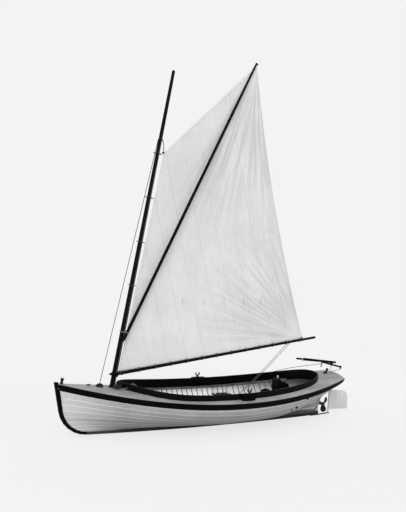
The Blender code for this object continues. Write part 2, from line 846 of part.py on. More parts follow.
tuck_centre = (POST_X - TUCK_RADIUS, TUCK_ARC_Z)
outline = [(POST_X, tuck_centre[1])]
for angle in (15, 30, 45, 60, 75):
    turn = math.radians(angle)
    outline.append((tuck_centre[0] + TUCK_RADIUS * math.cos(turn), tuck_centre[1] + TUCK_RADIUS * math.sin(turn)))
horn_z = tuck_line(HORN_END_X)
outline.append((HORN_END_X, horn_z))
post_fore_x = KEELSON_AFT_X - KEELSON_TO_POST
for x in spaced(HORN_END_X, post_fore_x, 6)[:-1]:
    outline.append((x, tuck_line(x) + HORN_DEPTH))
outline += on_keel(post_fore_x, POST_X)
sternpost = add("sternpost", plate(outline, full), PAINT_LIGHT)

# Ribs, clamp and seat riser of one side, joined into one frame


def inner_at(x, row):
    """A point of the inside of the planking on one of its rows."""
    for k in range(len(skin) - 1):
        ahead, behind = skin[k][1][row], skin[k + 1][1][row]
        if ahead.x >= x >= behind.x:
            return ahead.lerp(behind, (ahead.x - x) / (ahead.x - behind.x))
    return skin[-1][1][row].copy()


def inner_section(x):
    return [inner_at(x, row) for row in range(SKIN_ROWS + 2)]


def inner_y(x, z):
    """Half-breadth inside the planking at a place and a height."""
    section = inner_section(x)
    for low, high in zip(section, section[1:]):
        if low.z <= z <= high.z:
            return low.y + (high.y - low.y) * (z - low.z) / (high.z - low.z)
    return section[-1].y


def inner_z(x, y):
    """Height of the inside of the bottom at a half-breadth."""
    section = inner_section(x)
    for low, high in zip(section, section[1:]):
        if low.y <= y <= high.y and high.y > low.y:
            return low.z + (high.z - low.z) * (y - low.y) / (high.y - low.y)
    return section[0].z


def rib_edge(x, first):
    """Points up one edge of a rib, each with the direction that leads inboard."""
    section = inner_section(x)
    low, high = section[first - 1], section[first]
    foot = low.lerp(high, max((RIB_FOOT_Y - low.y) / (high.y - low.y), 0.0))
    line = [foot] + section[first:-1] + [section[-1].lerp(section[-2], 0.04)]
    last = len(line) - 1
    edge = []
    for k, point in enumerate(line):
        tangent = line[min(k + 1, last)] - line[max(k - 1, 0)]
        edge.append((point, Vector((0, -tangent.z, tangent.y)).normalized()))
    return edge


def rib_rings(x):
    """Square sections of one rib, up the inside of the planking from beside the keel."""
    first = next(k for k, point in enumerate(inner_section(x)) if point.y > RIB_FOOT_Y + RIB_WIDTH)
    rings = []
    fore, aft = rib_edge(x + RIB_WIDTH / 2, first), rib_edge(x - RIB_WIDTH / 2, first)
    for (ahead, inward), (behind, inward_too) in zip(fore, aft):
        rings.append([ahead + inward * RIB_SEAT, behind + inward_too * RIB_SEAT,
                      behind + inward_too * (RIB_SEAT + RIB_DEPTH), ahead + inward * (RIB_SEAT + RIB_DEPTH)])
    return rings


def strip_rings(x_list, low_share, high_share, thickness, embed):
    """A strip bent inside the ribs, between two shares of the top strip's height."""
    rings = []
    for x in x_list:
        section = inner_section(x)
        ahead = inner_at(x + 0.01, SKIN_ROWS + 1) - inner_at(x - 0.01, SKIN_ROWS + 1)
        inward = Vector((ahead.y, -ahead.x, 0)).normalized()
        top = section[-1].lerp(section[-2], high_share) + inward * embed
        low = section[-1].lerp(section[-2], low_share) + inward * embed
        rings.append([low, top, top + inward * thickness, low + inward * thickness])
    return rings


def strake_at(x_list, z_low, z_high, thickness, embed):
    """A level strip bent inside the ribs at its own height."""
    rings = []
    for x in x_list:
        for_low = Vector((x, inner_y(x, z_low) - embed, z_low))
        for_high = Vector((x, inner_y(x, z_high) - embed, z_high))
        inner_edge = min(for_low.y, for_high.y) - thickness
        rings.append([for_low, for_high, Vector((x, inner_edge, z_high)), Vector((x, inner_edge, z_low))])
    return rings


THWART_LOW = THWART_TOP - THWART
clamp_line = [x for x in side_stations if RIB_AFT_X - CLAMP_OVERHANG < x < RIB_FORE_X + CLAMP_OVERHANG]
riser_line = spaced(THWART_FORE_X + RISER_OVERHANG, THWART_AFT_X - RISER_OVERHANG, 5)
EMBED = RIB_SEAT + 0.5 * RIB_DEPTH
for side_name, side in SIDES:
    clamp = loft(mirrored(strip_rings(clamp_line, 0.72, 0.03, CLAMP_THICKNESS, EMBED), side))
    frames = add("frames_" + side_name, clamp, PAINT_INSIDE)
    riser = loft(mirrored(strake_at(riser_line, THWART_LOW - GAP - RISER_DEPTH, THWART_LOW - GAP,
                                    RISER_THICKNESS, EMBED), side))
    tools = [add("riser_" + side_name, riser, PAINT_INSIDE)]
    ribs = bmesh.new()
    for x in spaced(RIB_FORE_X, RIB_AFT_X, RIB_SPACES):
        rib = loft(mirrored(rib_rings(x), side))
        shape = bpy.data.meshes.new("rib")
        bmesh.ops.recalc_face_normals(rib, faces=rib.faces)
        rib.to_mesh(shape)
        rib.free()
        ribs.from_mesh(shape)
        bpy.data.meshes.remove(shape)
    tools.append(add("ribs_" + side_name, ribs, PAINT_INSIDE))
    combine(frames, tools, "UNION")

# Floorboards on cross bearers that rest on the keelson
board_low = FLOOR_TOP - FLOOR_BOARD
board_width = (2 * FLOOR_HALF_WIDTH - (FLOOR_BOARDS - 1) * FLOOR_BOARD_SPACE) / FLOOR_BOARDS
rib_face = RIB_SEAT + RIB_DEPTH + SEAT_GAP


def floor_room(x, z):
    """Half-breadth that the ribs leave clear at a height."""
    return inner_y(x, z) - rib_face - FLOOR_SIDE_SPACE


def board_end(edge, limit):
    """Furthest place toward a limit where a board's outer edge still clears the ribs."""
    near, far = 0.0, limit
    if floor_room(limit, board_low) >= edge:
        return limit
    for _ in range(20):
        middle = (near + far) / 2
        if floor_room(middle, board_low) >= edge:
            near = middle
        else:
            far = middle
    return near


floor = None
tools = []
for place in range(FLOOR_BOARDS):
    low_y = -FLOOR_HALF_WIDTH + place * (board_width + FLOOR_BOARD_SPACE)
    edge = max(abs(low_y), abs(low_y + board_width))
    board = box((board_end(edge, FLOOR_AFT_X), low_y, board_low),
                (board_end(edge, FLOOR_FORE_X), low_y + board_width, FLOOR_TOP))
    made = add("floor_part", board, BOARD)
    if floor is None:
        floor = made
    else:
        tools.append(made)
for x in spaced(FLOOR_FORE_X - FLOOR_BEARER_INSET, FLOOR_AFT_X + FLOOR_BEARER_INSET, FLOOR_BEARERS - 1):
    reach_out = min(floor_room(x, KEELSON_TOP + GAP), FLOOR_HALF_WIDTH - FLOOR_SIDE_SPACE)
    bearer = box((x - FLOOR_BEARER / 2, -reach_out, KEELSON_TOP + GAP),
                 (x + FLOOR_BEARER / 2, reach_out, board_low + FLOOR_LAP))
    tools.append(add("floor_bearer", bearer, BOARD))
floor.name = "floorboards"
combine(floor, tools, "UNION")

# Thwart across the launch, with knees at its corners


def thwart_room(x):
    """Half-length of the thwart at a place, short of the ribs at both its faces."""
    return min(inner_y(x, THWART_LOW), inner_y(x, THWART_TOP)) - rib_face


corners = [thwart_room(x) - KNEE_SEAT for x in (THWART_FORE_X, THWART_AFT_X)]
thwart_mesh = bmesh.new()
base = [thwart_mesh.verts.new(p) for p in ((THWART_FORE_X, corners[0], THWART_LOW),
                                           (THWART_FORE_X, -corners[0], THWART_LOW),
                                           (THWART_AFT_X, -corners[1], THWART_LOW),
                                           (THWART_AFT_X, corners[1], THWART_LOW))]
grown = bmesh.ops.extrude_face_region(thwart_mesh, geom=[thwart_mesh.faces.new(base)])
lifted = [v for v in grown["geom"] if isinstance(v, bmesh.types.BMVert)]
bmesh.ops.translate(thwart_mesh, verts=lifted, vec=(0, 0, THWART))
thwart = add("thwart", thwart_mesh, BOARD)
tools = []
for x in (THWART_FORE_X - KNEE, THWART_AFT_X + KNEE):
    end = thwart_room(x) - KNEE_SEAT / 2
    points = ((end, THWART_TOP - KNEE_SEAT), (end, THWART_TOP + KNEE_HEIGHT),
              (end - KNEE_TOE, THWART_TOP + KNEE_HEIGHT), (end - KNEE_REACH, THWART_TOP + KNEE_TOE),
              (end - KNEE_REACH, THWART_TOP - KNEE_SEAT))
    for side in (1, -1):
        rings = [[Vector((x + step, y * side, z)) for y, z in points] for step in (-KNEE / 2, KNEE / 2)]
        tools.append(add("knee", loft(rings), BOARD))
combine(thwart, tools, "UNION")

# Mast, raked, on its step, with a collar at the deck


def mast_x(z):
    return MAST_DECK_X - (z - MAST_DECK_Z) * math.tan(MAST_RAKE)


def mast_radius(z):
    if z <= MAST_DECK_Z + MAST_PARALLEL:
        return MAST_RADIUS
    share = (z - MAST_DECK_Z - MAST_PARALLEL) / (MAST_TOP_Z - MAST_DECK_Z - MAST_PARALLEL)
    return MAST_RADIUS + (MAST_TOP_RADIUS - MAST_RADIUS) * share ** 1.3


def mast_place(z):
    """Placing square to the raked mast, at a height on its axis."""
    return Matrix.Translation((mast_x(z), 0, z)) @ Matrix.Rotation(-MAST_RAKE, 4, "Y")


STEP_TOP = KEELSON_TOP + GAP + MAST_STEP_HEIGHT
MAST_FOOT_Z = STEP_TOP + MAST_HEEL_SPACE
mast_levels = [MAST_FOOT_Z] + spaced(MAST_DECK_Z + MAST_PARALLEL, MAST_TOP_Z - 0.01, 4) + [MAST_TOP_Z]
profile = []
for z in mast_levels:
    profile.append((mast_radius(z), (z - MAST_DECK_Z) / math.cos(MAST_RAKE)))
profile[-1] = (MAST_TOP_RADIUS * 0.6, profile[-1][1])
add("mast", turned(profile, MAST_SIDES, mast_place(MAST_DECK_Z)), SPAR)
step_x = mast_x(MAST_FOOT_Z)
add("mast_step", box((step_x - MAST_STEP_LENGTH / 2, -MAST_STEP_WIDTH / 2, KEELSON_TOP + GAP),
                     (step_x + MAST_STEP_LENGTH / 2, MAST_STEP_WIDTH / 2, STEP_TOP)), BOARD)



def mast_bore():
    """A cylinder a little wider than the mast, through the deck."""
    radius = MAST_RADIUS + 2 * GAP
    return turned([(radius, -BORE_RUN_OUT), (radius, BORE_RUN_OUT)], MAST_SIDES, mast_place(MAST_DECK_Z))


combine(foredeck, [add("deck_cut", mast_bore(), DECK_PAINT)], "DIFFERENCE")

# Deck fittings forward


def on_deck(x, y, lift=0.0):
    return Vector((x, y, deck_z(x, y) + lift))


def deck_tilt(x):
    """Slope of the deck's centreline, as a turn about Y."""
    return -math.atan((deck_z(x + 0.02, 0) - deck_z(x - 0.02, 0)) / 0.04)


def seat_on(target, x, y):
    """Placing on the facet of an upward face at a spot, its own Z square to the facet."""
    found = BVHTree.FromObject(target, bpy.context.evaluated_depsgraph_get())
    spot, normal, _, _ = found.ray_cast(Vector((x, y, 2.0)), Vector((0, 0, -1)))
    fore = Vector((normal.z, 0, -normal.x)).normalized()
    return Matrix.Translation(spot) @ Matrix((fore, normal.cross(fore), normal)).transposed().to_4x4()


COLLAR_X = mast_x(MAST_DECK_Z)
collar_tilt = Matrix.Translation(on_deck(COLLAR_X, 0, 0.0012)) @ Matrix.Rotation(deck_tilt(COLLAR_X), 4, "Y")
collar = turned([(MAST_RADIUS + MAST_COLLAR_WIDTH, 0), (MAST_RADIUS + MAST_COLLAR_WIDTH, MAST_COLLAR_HEIGHT * 0.5),
                 (MAST_RADIUS + MAST_COLLAR_WIDTH * 0.6, MAST_COLLAR_HEIGHT)], MAST_SIDES, collar_tilt)
collar = add("mast_collar", collar, PAINT_DARK)
combine(collar, [add("collar_cut", mast_bore(), PAINT_DARK)], "DIFFERENCE")


def cleat(length, width, height):
    """A two-horned cleat on one foot, lengthwise on X, standing on Z = 0."""
    half = length / 2
    outline = [(-0.28 * half, 0), (0.28 * half, 0), (0.24 * half, 0.55 * height), (0.95 * half, 0.72 * height),
               (half, 0.95 * height), (0.3 * half, height), (-0.3 * half, height), (-half, 0.95 * height),
               (-0.95 * half, 0.72 * height), (-0.24 * half, 0.55 * height)]
    return plate(outline, width)


FORE_CLEAT_PLACE = on_deck(FORE_LINE_DECK_X, 0, SEAT_GAP)
fore_cleat = cleat(*FORE_CLEAT)
fore_cleat.transform(Matrix.Translation(FORE_CLEAT_PLACE) @ Matrix.Rotation(deck_tilt(FORE_LINE_DECK_X), 4, "Y"))
add("fore_line_cleat", fore_cleat, GALVANIZED)

halyard_cleat = cleat(*HALYARD_CLEAT)
halyard_cleat.transform(Matrix.Translation((0, 0, 2 * GAP)) @ Matrix.Rotation(HALYARD_CLEAT_TURN, 4, "Z"))
halyard_cleat.transform(seat_on(foredeck, HALYARD_CLEAT_X, HALYARD_CLEAT_Y))
add("halyard_cleat", halyard_cleat, GALVANIZED)

foot, flare, tall = BOW_SOCKET
bow_socket_place = Matrix.Translation(on_deck(BOW_SOCKET_X, 0, SEAT_GAP))
bow_socket_place = bow_socket_place @ Matrix.Rotation(deck_tilt(BOW_SOCKET_X), 4, "Y")
socket = turned([(foot * 1.5, 0), (foot * 1.5, tall * 0.08), (foot, tall * 0.14), (foot, tall * 0.72),
                 (flare, tall * 0.89), (flare, tall)], 16, bow_socket_place)
add("bow_light_socket", socket, BRONZE)

foot, flare, tall = STERN_SOCKET
stern_socket_place = Matrix.Translation(on_deck(STERN_SOCKET_X, 0, STERN_PLATE_HEIGHT * 0.65))
stern_plate_place = Matrix.Translation(on_deck(STERN_SOCKET_X, 0))
stern_plate_place = stern_plate_place @ Matrix.Rotation(deck_tilt(STERN_SOCKET_X), 4, "Y")
socket = turned([(foot, 0), (foot, tall * 0.76), (flare, tall * 0.84), (flare, tall)], 14,
                stern_socket_place @ Matrix.Rotation(-STERN_SOCKET_LEAN, 4, "Y"))
stern_socket = add("stern_light_socket", socket, BRONZE)
foot_plate = turned([(STERN_PLATE_RADIUS, SEAT_GAP), (STERN_PLATE_RADIUS, STERN_PLATE_HEIGHT)], 14,
                    stern_plate_place)
combine(stern_socket, [add("foot_plate", foot_plate, BRONZE)], "UNION")

# Fore line, taut from its cleat to a loop about the mast under the throat
loop_radius = mast_radius(FORE_LINE_MAST_Z) + 2 * GAP + FORE_LINE_RADIUS
axis_point = Vector((mast_x(FORE_LINE_MAST_Z), 0, FORE_LINE_MAST_Z))
loop_points = []
for k in range(20):
    angle = 2 * math.pi * k / 20
    loop_points.append(mast_place(FORE_LINE_MAST_Z) @ Vector((loop_radius * math.cos(angle),
                                                              loop_radius * math.sin(angle), 0)))
line_top = loop_points[0]
line_foot = FORE_CLEAT_PLACE + Vector((0, 0, FORE_CLEAT[2] + FORE_LINE_RADIUS + GAP))
fore_line = add("fore_line", swept([line_foot, line_top], FORE_LINE_RADIUS, 8), ROPE)
combine(fore_line, [add("loop", swept(loop_points, FORE_LINE_RADIUS, 8, closed=True), ROPE)], "UNION")

# Rig that swings about the mast
RIG_PIVOT = (mast_x(BOOM_TACK_Z), 0.0, BOOM_TACK_Z)
boom_slope = (BOOM_END_Z - BOOM_TACK_Z) / (RIG_PIVOT[0] - BOOM_END_X)
jaw_inner = MAST_RADIUS + JAW_CLEARANCE
boom_start_x = RIG_PIVOT[0] - jaw_inner - JAW_THICKNESS * 0.6


def boom_z(x):
    return BOOM_TACK_Z + (RIG_PIVOT[0] - x) * boom_slope


def boom_radius(x):
    share = (boom_start_x - x) / (boom_start_x - BOOM_END_X)
    return BOOM_RADIUS + (BOOM_END_RADIUS - BOOM_RADIUS) * share


boom_ends = (boom_start_x, BOOM_END_X)
boom = add("boom", swept([(x, 0, boom_z(x)) for x in boom_ends], [boom_radius(x) for x in boom_ends], 16), SPAR)
jaw_place = mast_place(BOOM_TACK_Z)
rings = []
for k in range(25):
    angle = JAW_MOUTH + (2 * math.pi - 2 * JAW_MOUTH) * k / 24
    out = Vector((math.cos(angle), math.sin(angle), 0))
    low, high = Vector((0, 0, -JAW_DEPTH / 2)), Vector((0, 0, JAW_DEPTH / 2))
    outer_edge = jaw_inner + JAW_THICKNESS
    rings.append([jaw_place @ p for p in (out * jaw_inner + low, out * outer_edge + low,
                                          out * outer_edge + high, out * jaw_inner + high)])
combine(boom, [add("jaws", loft(rings), SPAR)], "UNION")
boom.data.transform(Matrix.Translation(-Vector(RIG_PIVOT)))
boom.location = RIG_PIVOT

parrel_points, parrel_radii = [], []
parrel_path = jaw_inner + JAW_THICKNESS / 2
parrel_bulge = PARREL_BEAD * 0.85 - JAW_THICKNESS / 2 + JAW_CLEARANCE
steps = 16
margin = 2 * GAP / parrel_path
for k in range(steps + 1):
    angle = (JAW_MOUTH - margin) * (2 * k / steps - 1)
    reach_out = parrel_path + parrel_bulge * math.cos(0.5 * math.pi * angle / JAW_MOUTH)
    parrel_points.append(jaw_place @ Vector((reach_out * math.cos(angle), reach_out * math.sin(angle), 0)))
    off = parrel_path * angle / PARREL_BEAD
    parrel_radii.append(max(PARREL_RADIUS, PARREL_BEAD * 0.85 * math.sqrt(max(1 - off * off, 0.0))))
add("jaw_parrel", swept(parrel_points, parrel_radii, 10), ROPE, pivot=RIG_PIVOT)

# Sail: a four-cornered cloth with a little belly to starboard
boom_top = boom_radius(SAIL_CLEW_X) * math.hypot(1.0, boom_slope)
CLEW_Z = boom_z(SAIL_CLEW_X) + boom_top + 2 * GAP


def sail_point(u, v):
    """A point of the cloth: u from luff to leech, v from foot to head."""
    low = Vector((SAIL_TACK_X, 0, SAIL_TACK_Z)).lerp(Vector((SAIL_CLEW_X, 0, CLEW_Z)), u)
    high = Vector((SAIL_THROAT_X, 0, SAIL_THROAT_Z)).lerp(Vector((SAIL_PEAK_X, 0, SAIL_PEAK_Z)), u)
    spot = low.lerp(high, v)
    spot.x += SAIL_LEECH_HOLLOW * 4 * v * (1 - v) * u ** 3
    spot.y = -SAIL_BELLY * 16 * u * (1 - u) * v * (1 - v)
    return spot


rings = []
half = Vector((0, SAIL_THICKNESS / 2, 0))
for j in range(SAIL_STEPS + 1):
    row = [sail_point(k / SAIL_STEPS, j / SAIL_STEPS) for k in range(SAIL_STEPS + 1)]
    rings.append([p + half for p in row] + [p - half for p in row[::-1]])
add("sail", loft(rings), CLOTH, pivot=RIG_PIVOT)


def luff_offset(z):
    """Distance of the luff aft of the mast's axis, square to the mast."""
    share = (z - SAIL_TACK_Z) / (SAIL_THROAT_Z - SAIL_TACK_Z)
    x = SAIL_TACK_X + (SAIL_THROAT_X - SAIL_TACK_X) * share
    return (mast_x(z) - x) * math.cos(MAST_RAKE)


# Hoops that hold the luff, each a ring about the mast with an eye at the cloth
for number, z in enumerate(HOOP_HEIGHTS, 1):
    points = []
    for k in range(20):
        angle = 2 * math.pi * k / 20
        points.append(mast_place(z) @ Vector((HOOP_RADIUS * math.cos(angle), HOOP_RADIUS * math.sin(angle), 0)))
    hoop = add(f"mast_hoop_{number}", swept(points, HOOP_WIRE, 6, closed=True), ROPE)
    eye = [mast_place(z) @ Vector((-reach_out, 0, 0)) for reach_out in (HOOP_RADIUS, luff_offset(z) - 2 * GAP)]
    combine(hoop, [add("eye", swept(eye, HOOP_WIRE * 0.8, 6), ROPE)], "UNION")
    hoop.data.transform(Matrix.Translation(-Vector(RIG_PIVOT)))
    hoop.location = RIG_PIVOT

# Sprit, from beside the mast to the peak, on the port side of the cloth
foot_y = mast_radius(SPRIT_FOOT_Z) + RIG_CLEARANCE + SPRIT_END_RADIUS
head_y = SAIL_THICKNESS / 2 + GAP + SPRIT_END_RADIUS
sprit_foot = Vector((mast_x(SPRIT_FOOT_Z), foot_y, SPRIT_FOOT_Z))
sprit_head = Vector((SAIL_PEAK_X + SPRIT_PAST_PEAK, head_y, SAIL_PEAK_Z + SPRIT_PAST_PEAK))
sprit_points, sprit_radii = [], []
for share, swell in ((0, 0.2), (0.02, 1), (0.45, 1), (0.8, 0.7), (0.96, 0.15), (1, 0)):
    sprit_points.append(sprit_foot.lerp(sprit_head, share))
    sprit_radii.append(SPRIT_END_RADIUS + (SPRIT_RADIUS - SPRIT_END_RADIUS) * swell)
add("sprit", swept(sprit_points, sprit_radii, 14), SPAR, pivot=RIG_PIVOT)

# Snotter: a loop of rope about the mast and the foot of the sprit
level = mast_place(SNOTTER_Z).inverted()
below, above = level @ sprit_foot, level @ sprit_head
sprit_spot = below.lerp(above, below.z / (below.z - above.z))
loops = ((Vector((0, 0, 0)), mast_radius(SNOTTER_Z) + RIG_CLEARANCE + HOOP_WIRE),
         (Vector((sprit_spot.x, sprit_spot.y, 0)), SPRIT_RADIUS + SNOTTER_SLACK + HOOP_WIRE))
points = []
for k in range(28):
    angle = 2 * math.pi * k / 28
    out = Vector((math.cos(angle), math.sin(angle), 0))
    middle, radius = max(loops, key=lambda loop: loop[0].dot(out) + loop[1])
    points.append(mast_place(SNOTTER_Z) @ (middle + out * radius))
add("snotter", swept(points, HOOP_WIRE, 6, closed=True), ROPE, pivot=RIG_PIVOT)

# Propeller, shaft and flywheel turn together on the sloping shaft
HUB = Vector((PROPELLER_X, 0, PROPELLER_Z))
shaft_way = Vector((math.cos(SHAFT_SLOPE), 0, math.sin(SHAFT_SLOPE)))


def shaft_place(distance):
    """Own Z along the shaft, pointing forward, at a distance ahead of the propeller's hub."""
    turn = Matrix.Rotation(math.pi / 2 - SHAFT_SLOPE, 4, "Y")
    return Matrix.Translation(HUB + shaft_way * distance) @ turn


def along_shaft(x):
    return (x - HUB.x) / shaft_way.x


half = HUB_LENGTH / 2
hub = turned([(HUB_RADIUS * 0.36, -half - HUB_NOSE), (HUB_RADIUS * 0.73, -half - HUB_NOSE * 0.45),
              (HUB_RADIUS, -half), (HUB_RADIUS * 1.1, 0), (HUB_RADIUS, half)], 18, shaft_place(0))
propeller = add("propeller", hub, BRONZE)
# Blade sections: share of the radius, half the chord, half the thickness
BLADE_ROWS = ((0.10, 0.022, 0.006), (0.30, 0.034, 0.0045), (0.52, 0.050, 0.0035), (0.74, 0.056, 0.0028),
              (0.90, 0.042, 0.0020), (0.99, 0.014, 0.0012))
tools = []
for blade in range(BLADES):
    turn = Matrix.Rotation(BLADE_PHASE + 2 * math.pi * blade / BLADES, 4, "Z")
    rings = []
    for share, chord, thick in BLADE_ROWS:
        radius = PROPELLER_RADIUS * share
        twist = math.atan2(BLADE_PITCH, 2 * math.pi * max(radius, HUB_RADIUS))
        lead = Vector((0, math.cos(twist), math.sin(twist)))
        face = Vector((0, -math.sin(twist), math.cos(twist)))
        section = ((-1, 0), (-0.4, 1), (0.4, 1), (1, 0), (0.4, -1), (-0.4, -1))
        spots = [Vector((radius, 0, 0)) + lead * (chord * a) + face * (thick * b) for a, b in section]
        rings.append([shaft_place(0) @ (turn @ p) for p in spots])
    tools.append(add("blade", loft(rings), BRONZE))
combine(propeller, tools, "UNION")
propeller.data.transform(Matrix.Translation(-HUB))
propeller.location = HUB

flywheel_at = along_shaft(FLYWHEEL_X)
ENGINE_AT = along_shaft(ENGINE_X)
crank_end = CRANKCASE_LENGTH / 2 + CRANK_FACE + CRANK_END_SPACE
shaft = turned([(SHAFT_RADIUS, half + GAP), (SHAFT_RADIUS, ENGINE_AT - crank_end)], 16, shaft_place(0))
add("propeller_shaft", shaft, BRONZE, pivot=HUB)
low, high = -FLYWHEEL_WIDTH / 2, FLYWHEEL_WIDTH / 2
stub = ENGINE_AT + crank_end - flywheel_at
rim = FLYWHEEL_RADIUS - FLYWHEEL_RIM
web = FLYWHEEL_WIDTH * 0.18
boss = FLYWHEEL_HUB_RADIUS
wheel = turned([(SHAFT_RADIUS, stub), (SHAFT_RADIUS, low - web), (boss * 0.9, low - web * 0.7),
                (boss, low + web * 0.7), (rim - web, low + web), (rim, low), (FLYWHEEL_RADIUS, low),
                (FLYWHEEL_RADIUS, high), (rim, high), (rim - web, high - web), (boss, high - web * 0.7),
                (boss * 0.9, high + boss * 0.5), (boss * 0.5, high + boss * 0.55)], 24, shaft_place(flywheel_at))
add("flywheel", wheel, IRON, pivot=HUB)

# Stern tube and its stuffing box, through the deadwood
tube_start = along_shaft(POST_X - TUBE_PROUD)
tube_end = along_shaft(TUBE_INNER_X)
bore = SHAFT_RADIUS + TUBE_CLEARANCE
rings = []
box_start = tube_end - STUFFING_BOX_LENGTH
tube_profile = [(TUBE_RADIUS, tube_start), (TUBE_RADIUS, box_start), (STUFFING_BOX_RADIUS, box_start),
                (STUFFING_BOX_RADIUS, tube_end), (bore, tube_end), (bore, tube_start)]
for k in range(18):
    angle = 2 * math.pi * k / 18
    out = Vector((math.cos(angle), math.sin(angle), 0))
    rings.append([shaft_place(0) @ (out * r + Vector((0, 0, z))) for r, z in tube_profile])
add("stern_tube", loft(rings, closed=True), BRONZE)
bore_end = tube_end + BORE_RUN_OUT
post_bore = turned([(TUBE_RADIUS + GAP, tube_start - BORE_RUN_OUT), (TUBE_RADIUS + GAP, bore_end)],
                   18, shaft_place(0))
box_bore = turned([(STUFFING_BOX_RADIUS + GAP, box_start - GAP), (STUFFING_BOX_RADIUS + GAP, bore_end)],
                  18, shaft_place(0))
combine(sternpost, [add("post_bore", post_bore, BRONZE), add("box_bore", box_bore, BRONZE)], "DIFFERENCE")

# Rudder on its stock, yoke and tiller
STOCK_PIVOT = (RUDDER_X, 0.0, STOCK_FOOT_Z)
stock = turned([(STOCK_RADIUS, STOCK_FOOT_Z), (STOCK_RADIUS, STOCK_TOP_Z)], 16, Matrix.Translation((RUDDER_X, 0, 0)))
rudder = add("rudder", stock, GALVANIZED)
centre_x = RUDDER_AFT_X + RUDDER_CORNER + RUDDER_TAPER / 2
centre_z = RUDDER_TOP_Z - RUDDER_TAPER - RUDDER_CORNER
outline = [(RUDDER_X, RUDDER_FOOT_Z + RUDDER_TAPER), (RUDDER_AFT_X, RUDDER_FOOT_Z),
           (RUDDER_AFT_X + RUDDER_TAPER / 3, centre_z)]
for angle in (165, 150, 135, 120, 105, 90):
    turn = math.radians(angle)
    outline.append((centre_x + RUDDER_CORNER * math.cos(turn), centre_z + RUDDER_CORNER * math.sin(turn)))
outline.append((RUDDER_X, RUDDER_TOP_Z))
combine(rudder, [add("blade_plate", plate(outline, RUDDER_THICKNESS), GALVANIZED)], "UNION")
rudder.data.transform(Matrix.Translation(-Vector(STOCK_PIVOT)))
rudder.location = STOCK_PIVOT

yoke_z = STOCK_TOP_Z + GAP
rings = []
# Yoke: share of the half-length, share of the width
for share, width in ((-1.0, 0.45), (-0.9, 0.75), (-0.15, 0.8), (0, 1.3), (0.15, 0.8), (0.9, 0.75), (1.0, 0.45)):
    y = YOKE_LENGTH / 2 * share
    x = YOKE_WIDTH / 2 * width
    rings.append([Vector((RUDDER_X - x, y, yoke_z)), Vector((RUDDER_X + x, y, yoke_z)),
                  Vector((RUDDER_X + x, y, yoke_z + YOKE_DEPTH)), Vector((RUDDER_X - x, y, yoke_z + YOKE_DEPTH))])
add("steering_yoke", loft(rings), IRON, pivot=STOCK_PIVOT)

tiller_aft = Vector((TILLER_AFT_X, 0, TILLER_AFT_Z))
tiller_tip = Vector((TILLER_TIP_X, 0, TILLER_TIP_Z))
grip = (TILLER_GRIP_X - TILLER_AFT_X) / (TILLER_TIP_X - TILLER_AFT_X)
# Tiller: share of its length, radius
TILLER_ROWS = ((0, TILLER_RADIUS * 0.5), (0.014, TILLER_RADIUS * 0.75), (0.19, TILLER_RADIUS * 0.9),
               (grip - 0.02, TILLER_RADIUS), (grip, TILLER_RADIUS * 0.9), (grip + 0.005, TILLER_TIP_RADIUS),
               (0.976, TILLER_TIP_RADIUS * 1.15), (1, TILLER_TIP_RADIUS * 0.6))
tiller = swept([tiller_aft.lerp(tiller_tip, share) for share, _ in TILLER_ROWS], [r for _, r in TILLER_ROWS], 14)
tiller = add("tiller", tiller, SPAR)
head_z = yoke_z + YOKE_DEPTH
head = turned([(TILLER_HEAD_RADIUS, head_z + GAP), (TILLER_HEAD_RADIUS, head_z + TILLER_HEAD_HEIGHT)], 14,
              Matrix.Translation((RUDDER_X, 0, 0)))
combine(tiller, [add("head", head, IRON)], "UNION")
tiller.data.transform(Matrix.Translation(-Vector(STOCK_PIVOT)))
tiller.location = STOCK_PIVOT

# Rudder tube through the counter, and the holes it passes
tube_low = RUDDER_TOP_Z + RIG_CLEARANCE
tube_high = deck_z(RUDDER_X, 0) + TUBE_STANDING
rudder_tube = ring_bar(STOCK_RADIUS + STOCK_CLEARANCE, RUDDER_TUBE_RADIUS, tube_low, tube_high, 20,
                       Matrix.Translation((RUDDER_X, 0, 0)))
add("rudder_tube", rudder_tube, BRONZE)
tube_cut = turned([(RUDDER_TUBE_RADIUS + GAP, tube_low), (RUDDER_TUBE_RADIUS + GAP, tube_high + BORE_RUN_OUT)], 20,
                  Matrix.Translation((RUDDER_X, 0, 0)))
combine(aft_deck, [add("tube_cut", tube_cut, BRONZE)], "DIFFERENCE")

# Iron bar under the heel that carries the rudder's foot
bar_half = HEEL_BAR_WIDTH / 2
bar_line = [(HEEL_BAR_FORE_X, keel_bottom(HEEL_BAR_FORE_X) - GAP), (KEEL_AFT_X, keel_bottom(KEEL_AFT_X) - GAP),
            (RUDDER_X + HEEL_BAR_SET, STOCK_FOOT_Z - SEAT_GAP), (RUDDER_X - HEEL_BAR_TAIL, STOCK_FOOT_Z - SEAT_GAP)]
rings = []
for x, z in bar_line:
    low = z - HEEL_BAR_DEPTH
    rings.append([Vector((x, -bar_half, low)), Vector((x, bar_half, low)), Vector((x, bar_half, z)),
                  Vector((x, -bar_half, z))])
add("heel_bar", loft(rings), IRON)

